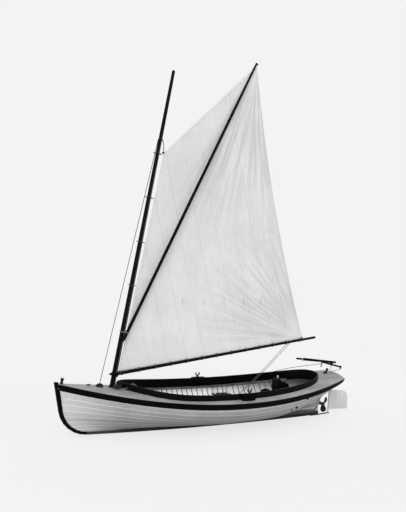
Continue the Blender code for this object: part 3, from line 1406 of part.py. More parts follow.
# Engine on its bed
bed_top = []
for x in (ENGINE_BED_FORE_X, ENGINE_BED_AFT_X):
    bed_top.append((x, HUB.z + (x - HUB.x) * math.tan(SHAFT_SLOPE) - ENGINE_BED_DROP))
inner_bed, outer_bed = ENGINE_BED_INNER_Y, ENGINE_BED_OUTER_Y
bed_low = []
for x in spaced(ENGINE_BED_AFT_X, ENGINE_BED_FORE_X, 4):
    slope = (inner_z(x, outer_bed + 0.01) - inner_z(x, outer_bed - 0.01)) / 0.02
    rise = (RIB_SEAT + RIB_DEPTH + BED_SEAT) * math.hypot(1.0, slope)
    bed_low.append((x, inner_z(x, outer_bed) + rise))
outline = bed_low + bed_top
bed = add("engine_bed", plate(outline, outer_bed - inner_bed, (outer_bed + inner_bed) / 2), BOARD)
tools = [add("bed_starboard", plate(outline, outer_bed - inner_bed, -(outer_bed + inner_bed) / 2), BOARD)]
cross_half = (inner_bed + outer_bed) / 2
for x in (ENGINE_BED_FORE_X - 1.5 * BED_CROSS, ENGINE_BED_AFT_X + BED_CROSS):
    z = max(inner_z(x, outer_bed) + rib_face + RIB_DEPTH, KEELSON_TOP + END_GAP)
    cross = box((x - BED_CROSS / 2, -cross_half, z), (x + BED_CROSS / 2, cross_half, z + BED_CROSS_DEPTH))
    tools.append(add("bed_cross", cross, BOARD))
combine(bed, tools, "UNION")

half = CRANKCASE_LENGTH / 2
case = turned([(CRANKCASE_RADIUS * 0.5, -half - CRANK_FACE), (CRANKCASE_RADIUS * 0.8, -half),
               (CRANKCASE_RADIUS, -half + CRANKCASE_ROUND), (CRANKCASE_RADIUS, half - CRANKCASE_ROUND),
               (CRANKCASE_RADIUS * 0.8, half), (CRANKCASE_RADIUS * 0.3, half + CRANK_FACE)], 24,
              shaft_place(ENGINE_AT))
engine = add("engine_block", case, IRON)
crank = HUB + shaft_way * ENGINE_AT
upright = Matrix.Translation(crank) @ Matrix.Rotation(-SHAFT_SLOPE, 4, "Y")
tall = (CYLINDER_TOP - crank.z) / math.cos(SHAFT_SLOPE)
# Cylinder: radius and height above the crank. Elbow: points from the crank, in cylinder radii
ELBOW_POINTS = ((0.0, 0.5, 3.2), (-1.45, 0.8, 3.2), (-2.25, 0.95, 2.75), (-2.6, 0.95, 1.8))
base = CRANKCASE_RADIUS + CYLINDER_FLANGE
barrel = turned([(CYLINDER_RADIUS * 1.25, CRANKCASE_RADIUS * 0.5), (CYLINDER_RADIUS * 1.25, base),
                 (CYLINDER_RADIUS * 0.95, base + CYLINDER_FLANGE), (CYLINDER_RADIUS, base + 2 * CYLINDER_FLANGE),
                 (CYLINDER_RADIUS, tall - 5 * CYLINDER_FLANGE), (CYLINDER_RADIUS * 0.85, tall - 2 * CYLINDER_FLANGE),
                 (CYLINDER_RADIUS * 0.35, tall - CYLINDER_FLANGE), (CYLINDER_RADIUS * 0.26, tall)], 20, upright)
lug_end = outer_bed - LUG_INSET
lug_low = BED_SEAT - ENGINE_BED_DROP * math.cos(SHAFT_SLOPE)
lug = box((-half * 0.8, -lug_end, lug_low), (half * 0.8, lug_end, lug_low + ENGINE_LUG))
lug.transform(Matrix.Translation(crank) @ Matrix.Rotation(-SHAFT_SLOPE, 4, "Y"))
elbow_bar = swept([Vector(p) * CYLINDER_RADIUS for p in ELBOW_POINTS], ELBOW_RADIUS, 12)
elbow_bar.transform(Matrix.Translation(crank))
combine(engine, [add("barrel", barrel, IRON), add("lug", lug, IRON), add("elbow", elbow_bar, IRON)], "UNION")

# Exhaust outlet on the port quarter, square to one facet of the planking
ahead = max(k for k in range(len(stations)) if stations[k] >= EXHAUST_OUTLET_X)
low, high = skin[ahead][0][EXHAUST_ROW], skin[ahead][0][EXHAUST_ROW + 1]
far = skin[ahead + 1][0][EXHAUST_ROW + 1]
normal = (high - low).cross(far - low).normalized()
if normal.y < 0:
    normal.negate()
outlet_place = Matrix.Translation((low + high + far) / 3) @ normal.to_track_quat("Z", "Y").to_matrix().to_4x4()
outlet = ring_bar(EXHAUST_RADIUS * 0.7, EXHAUST_RADIUS, GAP, EXHAUST_LENGTH, 16, outlet_place)
add("exhaust_outlet", outlet, BRONZE)

# Oarlocks and their pads, a pair: side of the boat, place fore and aft
OARLOCKS = (("port", 1, OARLOCK_PORT_X), ("starboard", -1, OARLOCK_STARBOARD_X))
for side_name, side, lock_x in OARLOCKS:
    for a, b in zip(coaming_outer, coaming_outer[1:]):
        if a.x >= lock_x >= b.x:
            y_in = a.y + (b.y - a.y) * (a.x - lock_x) / (a.x - b.x)
    y_lock = y_in - COAMING + OARLOCK_OUTBOARD
    pad_near, pad_far = y_in + OARLOCK_PAD_SPACE, y_in - COAMING + OARLOCK_PAD_OUTER
    top_z = deck_z(lock_x, y_in) + COAMING_RISE + OARLOCK_PAD_SPACE
    rings = []
    for x in spaced(lock_x + OARLOCK_PAD_LENGTH / 2, lock_x - OARLOCK_PAD_LENGTH / 2, 4):
        bow = math.cos(math.pi * (x - lock_x) / OARLOCK_PAD_LENGTH)
        y_out = pad_near + (pad_far - pad_near) * (0.65 + 0.35 * math.sqrt(max(bow, 0.0)))
        rings.append([Vector((x, pad_near * side, deck_z(x, pad_near) + PAD_SEAT)),
                      Vector((x, y_out * side, deck_z(x, y_out) + PAD_SEAT)),
                      Vector((x, y_out * side, top_z)), Vector((x, pad_near * side, top_z))])
    pad = add("oarlock_pad_" + side_name, loft(rings), PAINT_DARK)
    socket_low = top_z - OARLOCK_SOCKET_DEPTH
    bore = OARLOCK_SHANK + OARLOCK_CLEARANCE
    lock_place = Matrix.Translation((lock_x, y_lock * side, 0))
    hole = turned([(bore, socket_low), (bore, top_z + BORE_RUN_OUT)], 16, lock_place)
    combine(pad, [add("hole", hole, IRON)], "DIFFERENCE")
    pivot = (lock_x, y_lock * side, top_z)
    washer, neck = OARLOCK_SHANK * 1.9, OARLOCK_SHANK * 1.15
    shank = turned([(OARLOCK_SHANK, socket_low + OARLOCK_PAD_SPACE), (OARLOCK_SHANK, top_z + END_GAP),
                    (washer, top_z + END_GAP), (washer, top_z + OARLOCK_SHANK), (neck, top_z + 2 * OARLOCK_SHANK),
                    (neck, top_z + OARLOCK_NECK + OARLOCK_HORN)], 14, lock_place)
    lock = add("oarlock_" + side_name, shank, GALVANIZED)
    bend = []
    centre_z = top_z + OARLOCK_NECK + OARLOCK_MOUTH
    for k in range(9):
        angle = math.radians(-205 + 230 * k / 8)
        bend.append((lock_x + OARLOCK_MOUTH * math.cos(angle), y_lock * side,
                     centre_z + OARLOCK_MOUTH * math.sin(angle)))
    horn_tip = OARLOCK_HORN * 0.67
    horns = swept(bend, [horn_tip] + [OARLOCK_HORN] * 7 + [horn_tip], 6)
    combine(lock, [add("horns", horns, GALVANIZED)], "UNION")
    lock.data.transform(Matrix.Translation(-Vector(pivot)))
    lock.location = pivot
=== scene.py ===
from math import cos, exp, hypot, pi, radians, sin, sqrt, tan, tau

import bmesh
import bpy
from mathutils import Matrix, Vector


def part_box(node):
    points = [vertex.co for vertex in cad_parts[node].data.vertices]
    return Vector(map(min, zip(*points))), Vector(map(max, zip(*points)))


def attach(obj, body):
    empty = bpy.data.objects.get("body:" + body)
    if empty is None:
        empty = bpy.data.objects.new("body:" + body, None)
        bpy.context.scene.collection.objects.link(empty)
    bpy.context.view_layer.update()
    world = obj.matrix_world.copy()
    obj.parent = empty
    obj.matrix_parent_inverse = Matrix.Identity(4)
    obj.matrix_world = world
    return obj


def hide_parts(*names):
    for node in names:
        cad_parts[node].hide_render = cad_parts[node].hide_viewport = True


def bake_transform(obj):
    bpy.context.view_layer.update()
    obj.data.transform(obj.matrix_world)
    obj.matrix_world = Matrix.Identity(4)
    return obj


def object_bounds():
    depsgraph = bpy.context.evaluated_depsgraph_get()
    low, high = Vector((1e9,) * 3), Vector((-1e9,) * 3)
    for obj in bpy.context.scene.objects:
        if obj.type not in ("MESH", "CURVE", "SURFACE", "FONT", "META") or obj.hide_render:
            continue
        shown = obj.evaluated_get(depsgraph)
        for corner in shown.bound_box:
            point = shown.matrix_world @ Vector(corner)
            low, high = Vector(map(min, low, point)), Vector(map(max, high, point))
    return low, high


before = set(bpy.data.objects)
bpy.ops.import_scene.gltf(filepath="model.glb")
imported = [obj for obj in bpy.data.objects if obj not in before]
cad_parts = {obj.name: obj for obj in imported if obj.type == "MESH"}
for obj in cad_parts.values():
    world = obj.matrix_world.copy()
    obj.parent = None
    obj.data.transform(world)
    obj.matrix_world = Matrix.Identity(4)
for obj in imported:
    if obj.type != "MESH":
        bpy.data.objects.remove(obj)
cad_box = [list(corner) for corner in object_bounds()]

# View
# The launch is seen across its port bow, from ahead and from a little above the deck's edge.
# The lens is long and the picture leans a few degrees to the left.
EYE = Vector((6.651, 10.097, 2.802))
YAW, PITCH, ROLL = 0.567, -0.038, 0.068
UP = Vector((0, 0, 1))
SENSOR, FOCAL_PIXELS, PICTURE_HEIGHT, FAR_CLIP = 36.0, 811.67, 512, 400.0
ahead = Vector((-sin(YAW) * cos(PITCH), -cos(YAW) * cos(PITCH), sin(PITCH)))
level = ahead.cross(UP).normalized()
upright = level.cross(ahead)
camera_right = level * cos(ROLL) + upright * sin(ROLL)
camera_up = upright * cos(ROLL) - level * sin(ROLL)


scene = bpy.context.scene


def placed(name, data):
    """An object that is linked to the scene."""
    thing = bpy.data.objects.new(name, data)
    scene.collection.objects.link(thing)
    return thing


camera = placed("camera", bpy.data.cameras.new("camera"))
camera.data.sensor_width = SENSOR
camera.data.lens = FOCAL_PIXELS * SENSOR / PICTURE_HEIGHT
camera.data.clip_end = FAR_CLIP
camera.matrix_world = Matrix.Translation(EYE) @ Matrix((camera_right, camera_up, -ahead)).transposed().to_4x4()
scene.camera = camera
scene.view_settings.view_transform = "Standard"

# Floor, backdrop and light
# The launch stands on its keel on a pale studio floor that runs into a pale backdrop.
# The light is a white room and one broad lamp high on the port side.


def grey(tone):
    """A neutral colour from a tone of 0 to 255."""
    share = tone / 255
    linear = share / 12.92 if share <= 0.04045 else ((share + 0.055) / 1.055) ** 2.4
    return (linear, linear, linear, 1.0)


class Flow:
    """A value or a colour on its way through a finish."""

    def __init__(self, finish, socket):
        self.finish, self.socket = finish, socket

    def maths(self, operation, *others):
        return self.finish.node("ShaderNodeMath", {"operation": operation}, dict(enumerate((self, *others))))

    def __add__(self, other):
        return self.maths("ADD", other)

    def __sub__(self, other):
        return self.maths("SUBTRACT", other)

    def __rsub__(self, other):
        return self.finish.node("ShaderNodeMath", {"operation": "SUBTRACT"}, {0: other, 1: self})

    def __mul__(self, other):
        return self.maths("MULTIPLY", other)

    def __truediv__(self, other):
        return self.maths("DIVIDE", other)

    def toned(self, *layers):
        """This colour with grey tones laid over it, each by its own share."""
        colour = self
        for share, tone in layers:
            colour = self.finish.mix(share, colour, grey(tone))
        return colour

    def eased(self, low, high, first=0.0, last=1.0):
        """A smooth step from first to last, as this value goes from low to high."""
        return self.finish.node("ShaderNodeMapRange", {"interpolation_type": "SMOOTHSTEP"},
                                {"Value": self, "From Min": low, "From Max": high, "To Min": first, "To Max": last})


class Nodes:
    """A node tree that is filled by naming each node's type, settings and sockets."""

    def __init__(self, tree):
        self.tree = tree

    def node(self, kind, settings=None, sockets=None, output=0):
        made = self.tree.nodes.new(kind)
        for name, value in (settings or {}).items():
            setattr(made, name, value)
        for key, value in (sockets or {}).items():
            if isinstance(value, Flow):
                self.tree.links.new(value.socket, made.inputs[key])
            else:
                made.inputs[key].default_value = value
        return Flow(self, made.outputs[output])


class Finish(Nodes):
    """A finish: constants on the shader's own sockets, and what varies linked to them."""

    def __init__(self, name, constants):
        self.material = bpy.data.materials.new(name)
        self.material.use_nodes = True
        super().__init__(self.material.node_tree)
        self.shader = self.tree.nodes["Principled BSDF"]
        for socket, value in constants.items():
            self.shader.inputs[socket].default_value = value
        self.place = self.node("ShaderNodeTexCoord", output=3)

    def vary(self, socket, flow):
        self.tree.links.new(flow.socket, self.shader.inputs[socket])

    def relief(self, height, depth):
        self.vary("Normal", self.node("ShaderNodeBump", None, {"Height": height, "Distance": depth}))

    def mix(self, share, low, high):
        return self.node("ShaderNodeMix", {"data_type": "RGBA"}, {0: share, 6: low, 7: high}, 2)

    def shade(self, share, tones):
        return self.mix(share, grey(tones[0]), grey(tones[1]))

    def part(self, vector, axis):
        return self.node("ShaderNodeSeparateXYZ", None, {0: vector}, "XYZ".index(axis))

    def surface_place(self):
        return self.node("ShaderNodeUVMap", {"uv_map": "UVMap"})

    def weave(self, axes, scale):
        """The two sets of threads of a cloth, added."""
        threads = [self.node("ShaderNodeTexWave", {"bands_direction": axis}, {"Vector": self.place, "Scale": scale})
                   for axis in axes]
        return threads[0] + threads[1]

    def cloud(self, size, detail=3.0, stretch=(1, 1, 1), place=None):
        """Soft random blotches of a size in metres, longer along an axis by its stretch."""
        spread = self.node("ShaderNodeMapping", None, {"Vector": place or self.place,
                                                       "Scale": tuple(1 / (size * share) for share in stretch)})
        return self.node("ShaderNodeTexNoise", None, {"Vector": spread, "Scale": 1.0, "Detail": detail})


def seen_directly(nodes):
    """One for a ray from the eye, off a gloss or through glass, and nothing for any other."""
    rays = nodes.tree.nodes.new("ShaderNodeLightPath")
    seen = [Flow(nodes, rays.outputs[name]) for name in ("Is Camera Ray", "Is Glossy Ray", "Is Transmission Ray")]
    return seen[0].maths("MAXIMUM", seen[1].maths("MAXIMUM", seen[2]))


BACKDROP = (0.9, 0.9, 0.9, 1)
ROOM_LIGHT = 0.72
LAMP_LIGHT, LAMP_SPREAD, LAMP_WAY = 1.45, radians(40), Vector((0.62, 0.78, 0.62))
NEAR, FAR, NEAR_GLOW, NEAR_SHARE = 3.5, 8.0, (1.02, 1.02, 1.02, 1), 0.72
FLOOR_HALF, FLOOR_DROP = 60.0, 0.0005
world = bpy.data.worlds.new("room")
scene.world = world
world.use_nodes = True
room = Nodes(world.node_tree)
lit = room.node("ShaderNodeBackground", None, {"Color": (1, 1, 1, 1), "Strength": ROOM_LIGHT})
shown = room.node("ShaderNodeBackground", None, {"Color": BACKDROP, "Strength": 1.0})
both = room.node("ShaderNodeMixShader", None, {0: seen_directly(room), 1: lit, 2: shown})
room.tree.links.new(both.socket, room.tree.nodes["World Output"].inputs["Surface"])

lamp = placed("broad_lamp", bpy.data.lights.new("broad_lamp", "SUN"))
lamp.data.energy = LAMP_LIGHT
lamp.data.angle = LAMP_SPREAD
lamp.matrix_world = LAMP_WAY.to_track_quat("Z", "Y").to_matrix().to_4x4()

ground = Finish("studio_floor", {"Base Color": grey(205), "Roughness": 0.9, "Specular IOR Level": 0.1})
distance = ground.node("ShaderNodeVectorMath", {"operation": "LENGTH"}, {0: ground.place}, 1)
glow = ground.node("ShaderNodeEmission", None,
                   {"Color": ground.mix(distance.eased(NEAR, FAR), NEAR_GLOW, BACKDROP)})
floor_mix = ground.node("ShaderNodeMixShader", None,
                        {0: seen_directly(ground) * distance.eased(NEAR, FAR, NEAR_SHARE, 1.0),
                         1: Flow(ground, ground.shader.outputs[0]), 2: glow})
ground.tree.links.new(floor_mix.socket, ground.tree.nodes["Material Output"].inputs["Surface"])
floor_mesh = bmesh.new()
bmesh.ops.create_grid(floor_mesh, x_segments=4, y_segments=4, size=FLOOR_HALF)
bmesh.ops.translate(floor_mesh, vec=(0, 0, cad_box[0][2] - FLOOR_DROP), verts=floor_mesh.verts)
floor_data = bpy.data.meshes.new("studio_floor")
floor_mesh.to_mesh(floor_data)
floor_data.materials.append(ground.material)
placed("studio_floor", floor_data)

# Keel, stem and sternpost
# Oak backbone timbers, painted black above the water and worn dark grey underneath.
# The stem is one tall timber with its face rounded over, and a galvanized band caps its head.


def together(meshes):
    """Several meshes gathered into one."""
    whole = bmesh.new()
    for mesh in meshes:
        data = bpy.data.meshes.new("gathered")
        mesh.to_mesh(data)
        mesh.free()
        whole.from_mesh(data)
        bpy.data.meshes.remove(data)
    return whole


def fitted(mesh, name, finish, replaces=(), crease=35, body="hull"):
    """Finish a mesh, or several gathered, as one piece that rides on a body."""
    if isinstance(mesh, list):
        mesh = together(mesh)
    data = bpy.data.meshes.new(name)
    mesh.to_mesh(data)
    mesh.free()
    data.shade_smooth()
    data.set_sharp_from_angle(angle=radians(crease))
    for coat in finish if isinstance(finish, tuple) else (finish,):
        data.materials.append(coat.material)
    piece = placed(name, data)
    if body:
        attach(piece, body)
    if replaces:
        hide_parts(*replaces)
    return piece


def eased(node, name, finish, edge, segments=2, sharper=40, grow=0.0, body="hull"):
    """A piece of the frame with its facets joined and its corners eased, grown by its coats of paint."""
    mesh = bmesh.new()
    mesh.from_mesh(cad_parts[node].data)
    bmesh.ops.remove_doubles(mesh, verts=mesh.verts, dist=1e-5)
    bmesh.ops.dissolve_limit(mesh, angle_limit=radians(1.0), verts=mesh.verts, edges=mesh.edges)
    corners = [e for e in mesh.edges if e.is_manifold and e.calc_face_angle(0) > radians(sharper)]
    bmesh.ops.bevel(mesh, geom=corners, offset=edge, offset_type="OFFSET", segments=segments, profile=0.5,
                    affect="EDGES", clamp_overlap=True, material=-1)
    mesh.normal_update()
    for vertex in mesh.verts:
        vertex.co += vertex.normal * grow
    return fitted(mesh, name, finish, (node,), body=body)


def weathered(name, tones, rough, grain=(1, 1, 1), blotch=0.12, fine=0.012, depth=0.0006, specular=0.25):
    """Old matt paint on wood: broad blotches, fine scuffs along the grain, and a little relief."""
    coat = Finish(name, {"Roughness": rough, "Specular IOR Level": specular})
    broad = coat.cloud(blotch, 4.0, grain)
    scuff = coat.cloud(fine, 3.0, grain)
    mottle = broad * 0.6 + scuff * 0.4
    coat.vary("Base Color", coat.shade(mottle.eased(0.36, 0.64), tones))
    coat.vary("Roughness", mottle.eased(0.3, 0.7, rough - 0.1, rough + 0.1))
    coat.relief(scuff * 0.7 + broad * 0.3, depth)
    return coat


def dress(finish, *nodes):
    """Give pieces of the frame their finish as they stand."""
    for node in nodes:
        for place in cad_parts[node].material_slots:
            place.material = finish.material


keel_paint = weathered("worn_keel_paint", (30, 66), 0.75, (4, 1, 1), specular=0.1)
stem_paint = weathered("black_stem_paint", (1, 9), 0.6, (1, 1, 3), specular=0.05)
eased("keel", "keel_timber", keel_paint, 0.004)
eased("stem", "stem_timber", stem_paint, 0.007, 3)
post_paint = weathered("light_post_paint", (176, 206), 0.65, (1, 1, 4))
eased("sternpost", "sternpost_timber", post_paint, 0.004)

# Planking
# Carvel strakes of cedar on each side, painted a light grey, chalky and streaked with stain, that grows darker low
# down.
# The seams show as thin pale lines, and the bottom under the turn of the bilge is dark.
BOW_X, STERN_X, WIDEST_X = 2.44, -2.44, -0.22
STEM_X, STEM_Z, STEM_RADIUS, STEM_RAKE = 1.92285, 0.474, 0.44, 0.225
HEAD_X, HEAD_LOW, HEAD_TOP = 2.3833932, 0.084, 0.7441922
BACKBONE_DEPTH, BACKBONE_HALF = 0.05, 0.022
DRAUGHT = 0.21
PLANK = 0.014
STRAKES = 10
SIDES = (("port", 1), ("starboard", -1))
HALF_BEAM, STERN_NARROWING, BOW_CURVE, STERN_CURVE = 0.734, 0.384, 2.2, 2.154
SHEER_LOW_X, SHEER_LOW, SHEER_BOW, SHEER_STERN, DECK_EDGE = -0.227, 0.494, 0.274, 0.189, 0.0123
PLANK_END_X, STERN_BOW, STERN_HALF, STERN_GAP, SEAM_DEPTH = -2.42, 0.04, 0.35, 0.0003, 0.0007
KEEL_ROCKER, KEEL_LOW_X, KEEL_REACH, STEM_TOP = 0.034, -0.13, 2.08, 0.768
TUCK_X, TUCK_TOP, TUCK_CURVE, BARE_X, BARE_SPAN, GIRTH_STEPS, NEARBY_H = -0.9, 0.445, 2.2, -2.145, 0.06, 48, 0.02
BODY_SHAPES = ((-2.44, 1.30, 1.00), (-1.90, 1.60, 0.84), (-1.20, 2.00, 0.66), (-0.20, 2.20, 0.60),
               (0.80, 1.90, 0.68), (1.60, 1.55, 0.82), (2.39, 1.30, 1.00))


def half_breadth(x):
    """Half-breadth at the deck's edge."""
    if x >= WIDEST_X:
        return HALF_BEAM * (1 - ((x - WIDEST_X) / (BOW_X - WIDEST_X)) ** BOW_CURVE)
    return HALF_BEAM - STERN_NARROWING * ((WIDEST_X - x) / (WIDEST_X - STERN_X)) ** STERN_CURVE


def sheer(x):
    """Height of the deck's edge above the base line."""
    if x >= SHEER_LOW_X:
        return SHEER_LOW + SHEER_BOW * ((x - SHEER_LOW_X) / (BOW_X - SHEER_LOW_X)) ** 2
    return SHEER_LOW + SHEER_STERN * ((SHEER_LOW_X - x) / (SHEER_LOW_X - STERN_X)) ** 2


def rabbet(x):
    """Height at which the planking leaves the keel."""
    return KEEL_ROCKER * ((x - KEEL_LOW_X) / KEEL_REACH) ** 2 + BACKBONE_DEPTH


def stem_x(z):
    """Fore-and-aft place of the planking's end along the stem."""
    lean = hypot(1.0, STEM_RAKE)
    radius = STEM_RADIUS - BACKBONE_DEPTH
    if z > STEM_Z - radius * STEM_RAKE / lean:
        return BOW_X - STEM_RAKE * (STEM_TOP - z) - BACKBONE_DEPTH * lean
    return STEM_X + sqrt(radius ** 2 - min(STEM_Z - z, radius) ** 2)


def tuck(x):
    """Height at which the body leaves the centreline aft."""
    if x >= TUCK_X:
        return rabbet(x)
    return rabbet(x) + (TUCK_TOP - rabbet(x)) * ((TUCK_X - x) / (TUCK_X - STERN_X)) ** TUCK_CURVE


def body_breadth(x, h):
    """Half-breadth of the body at a share of the section's height."""
    for low, high in zip(BODY_SHAPES, BODY_SHAPES[1:]):
        if x <= high[0]:
            break
    share = min(max((x - low[0]) / (high[0] - low[0]), 0.0), 1.0)
    topside, bottom = (a + (b - a) * share for a, b in zip(low[1:], high[1:]))
    top = sheer(x) - DECK_EDGE
    start = (tuck(x) - rabbet(x)) / (top - rabbet(x))
    g = min(max((h - start) / (1 - start), 0.0), 1.0)
    return half_breadth(x) * (1 - (1 - g) ** topside) ** bottom


def hull_point(x, h):
    """A point of the outside of the port planking, above the floor's level."""
    low_x, px = x, x
    if x > WIDEST_X:
        low_x = WIDEST_X + (x - WIDEST_X) * (stem_x(HEAD_LOW) - WIDEST_X) / (HEAD_X - WIDEST_X)
        here = stem_x(HEAD_LOW + (HEAD_TOP - HEAD_LOW) * h)
        px = WIDEST_X + (x - WIDEST_X) * (here - WIDEST_X) / (HEAD_X - WIDEST_X)
    low, high = rabbet(low_x), sheer(x) - DECK_EDGE
    low_h, high_h = max(h - NEARBY_H, 0.0), min(h + NEARBY_H, 1.0)
    slope = (body_breadth(x, high_h) - body_breadth(x, low_h)) / ((high_h - low_h) * (high - low))
    least = BACKBONE_HALF + STERN_GAP + PLANK / hypot(1.0, slope)
    breadth = (body_breadth(x, h) ** 3 + least ** 3) ** (1 / 3)
    return Vector((px, breadth, low + (high - low) * h - DRAUGHT))


def girth_heights(x, shares):
    """Heights at equal shares of the way round the section, from the keel to the deck's edge."""
    bare = min(max((BARE_X - x) / BARE_SPAN, 0.0), 1.0)
    start = bare * (tuck(x) - rabbet(x)) / (sheer(x) - DECK_EDGE - rabbet(x))
    heights = [start + (1 - start) * k / GIRTH_STEPS for k in range(GIRTH_STEPS + 1)]
    points = [hull_point(x, h) for h in heights]
    run = [0.0]
    for a, b in zip(points, points[1:]):
        run.append(run[-1] + (b - a).length)
    found = []
    for share in shares:
        goal = share * run[-1]
        k = max(i for i in range(GIRTH_STEPS) if run[i] <= goal + 1e-9)
        found.append(heights[k] + (heights[k + 1] - heights[k]) * (goal - run[k]) / (run[k + 1] - run[k]))
    return found


def mirrored(point, side):
    """The same point or way on the port side (1) or the starboard side (-1)."""
    return Vector((point.x, point.y * side, point.z))


def inward_at(x, h):
    """Direction from the planking into the launch, square to its surface."""
    along = hull_point(min(x + 0.01, HEAD_X), h) - hull_point(x - 0.01, h)
    upward = hull_point(x, min(h + 0.01, 1.0)) - hull_point(x, max(h - 0.01, 0.0))
    inward = along.cross(upward).normalized()
    return -inward if inward.y > 0 else inward


def laid(columns, rows, spot, side=0):
    """A sheet of quads bent to a surface, u and v from 0 to 1, its faces turned to a side if one is given."""
    mesh = bmesh.new()
    mesh.loops.layers.uv.new("UVMap")
    bmesh.ops.create_grid(mesh, x_segments=columns, y_segments=rows, size=0.5, calc_uvs=True)
    for vertex in mesh.verts:
        vertex.co = spot(vertex.co.x + 0.5, vertex.co.y + 0.5)
    mesh.normal_update()
    if sum(face.normal.y for face in mesh.faces) * side < 0:
        bmesh.ops.reverse_faces(mesh, faces=mesh.faces)
    return mesh


def hull_paint(name, tones, stain, seam_tone, dark_strakes, shadow, low_band_top):
    """Chalky paint over strakes, read from the strake's number across u and from the length along x, with painted
    light and shade.
    """
    coat = Finish(name, {"Roughness": 0.62, "Specular IOR Level": 0.2})
    across = coat.part(coat.surface_place(), "X") * STRAKES
    edge = across.maths("PINGPONG", 0.5)
    tint = coat.node("ShaderNodeTexWhiteNoise", {"noise_dimensions": "1D"}, {"W": across.maths("FLOOR")})
    broad = coat.cloud(0.22, 4.0, (2.5, 1, 1))
    streak = coat.cloud(0.02, 4.0, (12, 1, 1))
    fall = coat.cloud(0.05, 3.0, (1, 1, 7))
    mottle = broad * 0.35 + streak * 0.45 + tint * 0.2
    height = coat.part(coat.place, "Z") + broad * 0.08
    along = coat.part(coat.place, "X")
    middle = (along + 0.35).maths("ABSOLUTE")
    low_darkening = height.eased(-0.06, 0.26, 0.6, 0.0) * middle.eased(0.9, 2.2, 1.0, 0.3)
    seam = edge.eased(0.06, 0.17, 1.0, 0.0) * fall.eased(0.2, 0.5, 0.75, 1.0) * across.eased(0.4, 0.8)
    low = across + middle * 1.3 + broad * 0.9
    # Toward the bow the colour is laid lighter as a painted highlight, and over the shadow range it darkens as
    # painted shadow.
    colour = coat.shade(mottle.eased(0.3, 0.7), tones).toned(
        ((streak * 0.5 + fall * 0.5).eased(0.5, 0.7) * 0.4, stain), (low_darkening, stain - 30), (seam, seam_tone),
        (low.eased(dark_strakes, dark_strakes + 1.2, 0.8, 0.0), 52),
        ((across + broad * 0.3).eased(low_band_top, low_band_top + 0.3, 0.85, 0.0), 56),
        (along.eased(1.5, 2.35, 0.0, 0.4), 235), (along.eased(*shadow, 0.94, 0.0), 26))
    # The colour also feeds the emission, so a finish given a strength glows with it as painted light.
    coat.vary("Emission Color", colour)
    coat.vary("Base Color", colour)
    coat.vary("Roughness", streak.eased(0.3, 0.7, 0.5, 0.75))
    coat.relief(streak * 0.5 + broad * 0.5, 0.0007)
    return coat


outside_paint = hull_paint("chalky_hull_paint", (160, 190), 138, 255, 1.6, (-9.0, -8.0), 0.62)
inside_paint_and_glow = hull_paint("inside_hull_paint_and_glow", (250, 255), 238, 236, -2.0, (-2.3, -0.35), -1.0)
# The inner planking glows a little: painted light that brightens the inside of the cockpit.
inside_paint_and_glow.shader.inputs["Emission Strength"].default_value = 0.32
ACROSS = (0.0, 0.07, 0.5, 0.93)
LENGTHS = 96
columns = STRAKES * len(ACROSS)
girths = {}
for row in range(LENGTHS + 1):
    x = HEAD_X + (PLANK_END_X - HEAD_X) * (row / LENGTHS)
    shares = [min((k // 4 + ACROSS[k % 4]) / STRAKES, 1.0) for k in range(columns + 1)]
    girths[row] = (x, girth_heights(x, shares))
for side_name, side in SIDES:

    def strake_spot(u, v):
        row, column = round(v * LENGTHS), round(u * columns)
        x, heights = girths[row]
        point = hull_point(x, heights[column])
        if column % len(ACROSS) == 0 and 0 < column < columns:
            point = point + inward_at(x, heights[column]) * SEAM_DEPTH
        if row == LENGTHS:
            point.x = PLANK_END_X - STERN_BOW * (1 - (point.y / STERN_HALF) ** 2) + STERN_GAP
        return mirrored(point, side)

    strakes = laid(columns, LENGTHS, strake_spot, side)
    skin = fitted(strakes, "strakes_" + side_name, (outside_paint, inside_paint_and_glow),
                  ("planking_" + side_name,), crease=50)
    wall = skin.modifiers.new("plank_thickness", "SOLIDIFY")
    wall.thickness = PLANK
    wall.offset = -1.0
    wall.material_offset = 1

# Ribs
# Steam-bent oak ribs close together along the inside, in a tone much darker than the planking.
# Their feet stand off the keelson and their heads reach the deck.
RIB_WIDTH, RIB_DEPTH = 0.013, 0.010
RIB_FIRST, RIB_LAST, RIBS = 1.25, -1.90, 34
RIB_STEPS, RIB_FOOT, RIB_BEDDING, RIB_EASE = 20, 0.085, 0.0005, 0.002


def wrapped(columns, rows, spot):
    """A tube of quads: u runs round it and v along it; the seam is joined and the ends are closed."""
    mesh = laid(columns, rows, spot)
    bmesh.ops.remove_doubles(mesh, verts=mesh.verts, dist=2e-6)
    open_edges = [e for e in mesh.edges if e.is_boundary]
    if open_edges:
        bmesh.ops.holes_fill(mesh, edges=open_edges)
    bmesh.ops.recalc_face_normals(mesh, faces=mesh.faces)
    return mesh


def batten(frames, width, depth, ease):
    """A bar of eased rectangular section; each frame is its point, its side and its out direction."""
    half = width / 2
    outline = [(-half, 0.0), (half, 0.0), (half, depth - ease), (half - ease, depth),
               (ease - half, depth), (-half, depth - ease), (-half, 0.0)]

    def spot(u, v):
        point, side, out = frames[round(v * (len(frames) - 1))]
        across, rise = outline[round(u * (len(outline) - 1))]
        return point + side * across + out * rise

    return wrapped(len(outline) - 1, len(frames) - 1, spot)


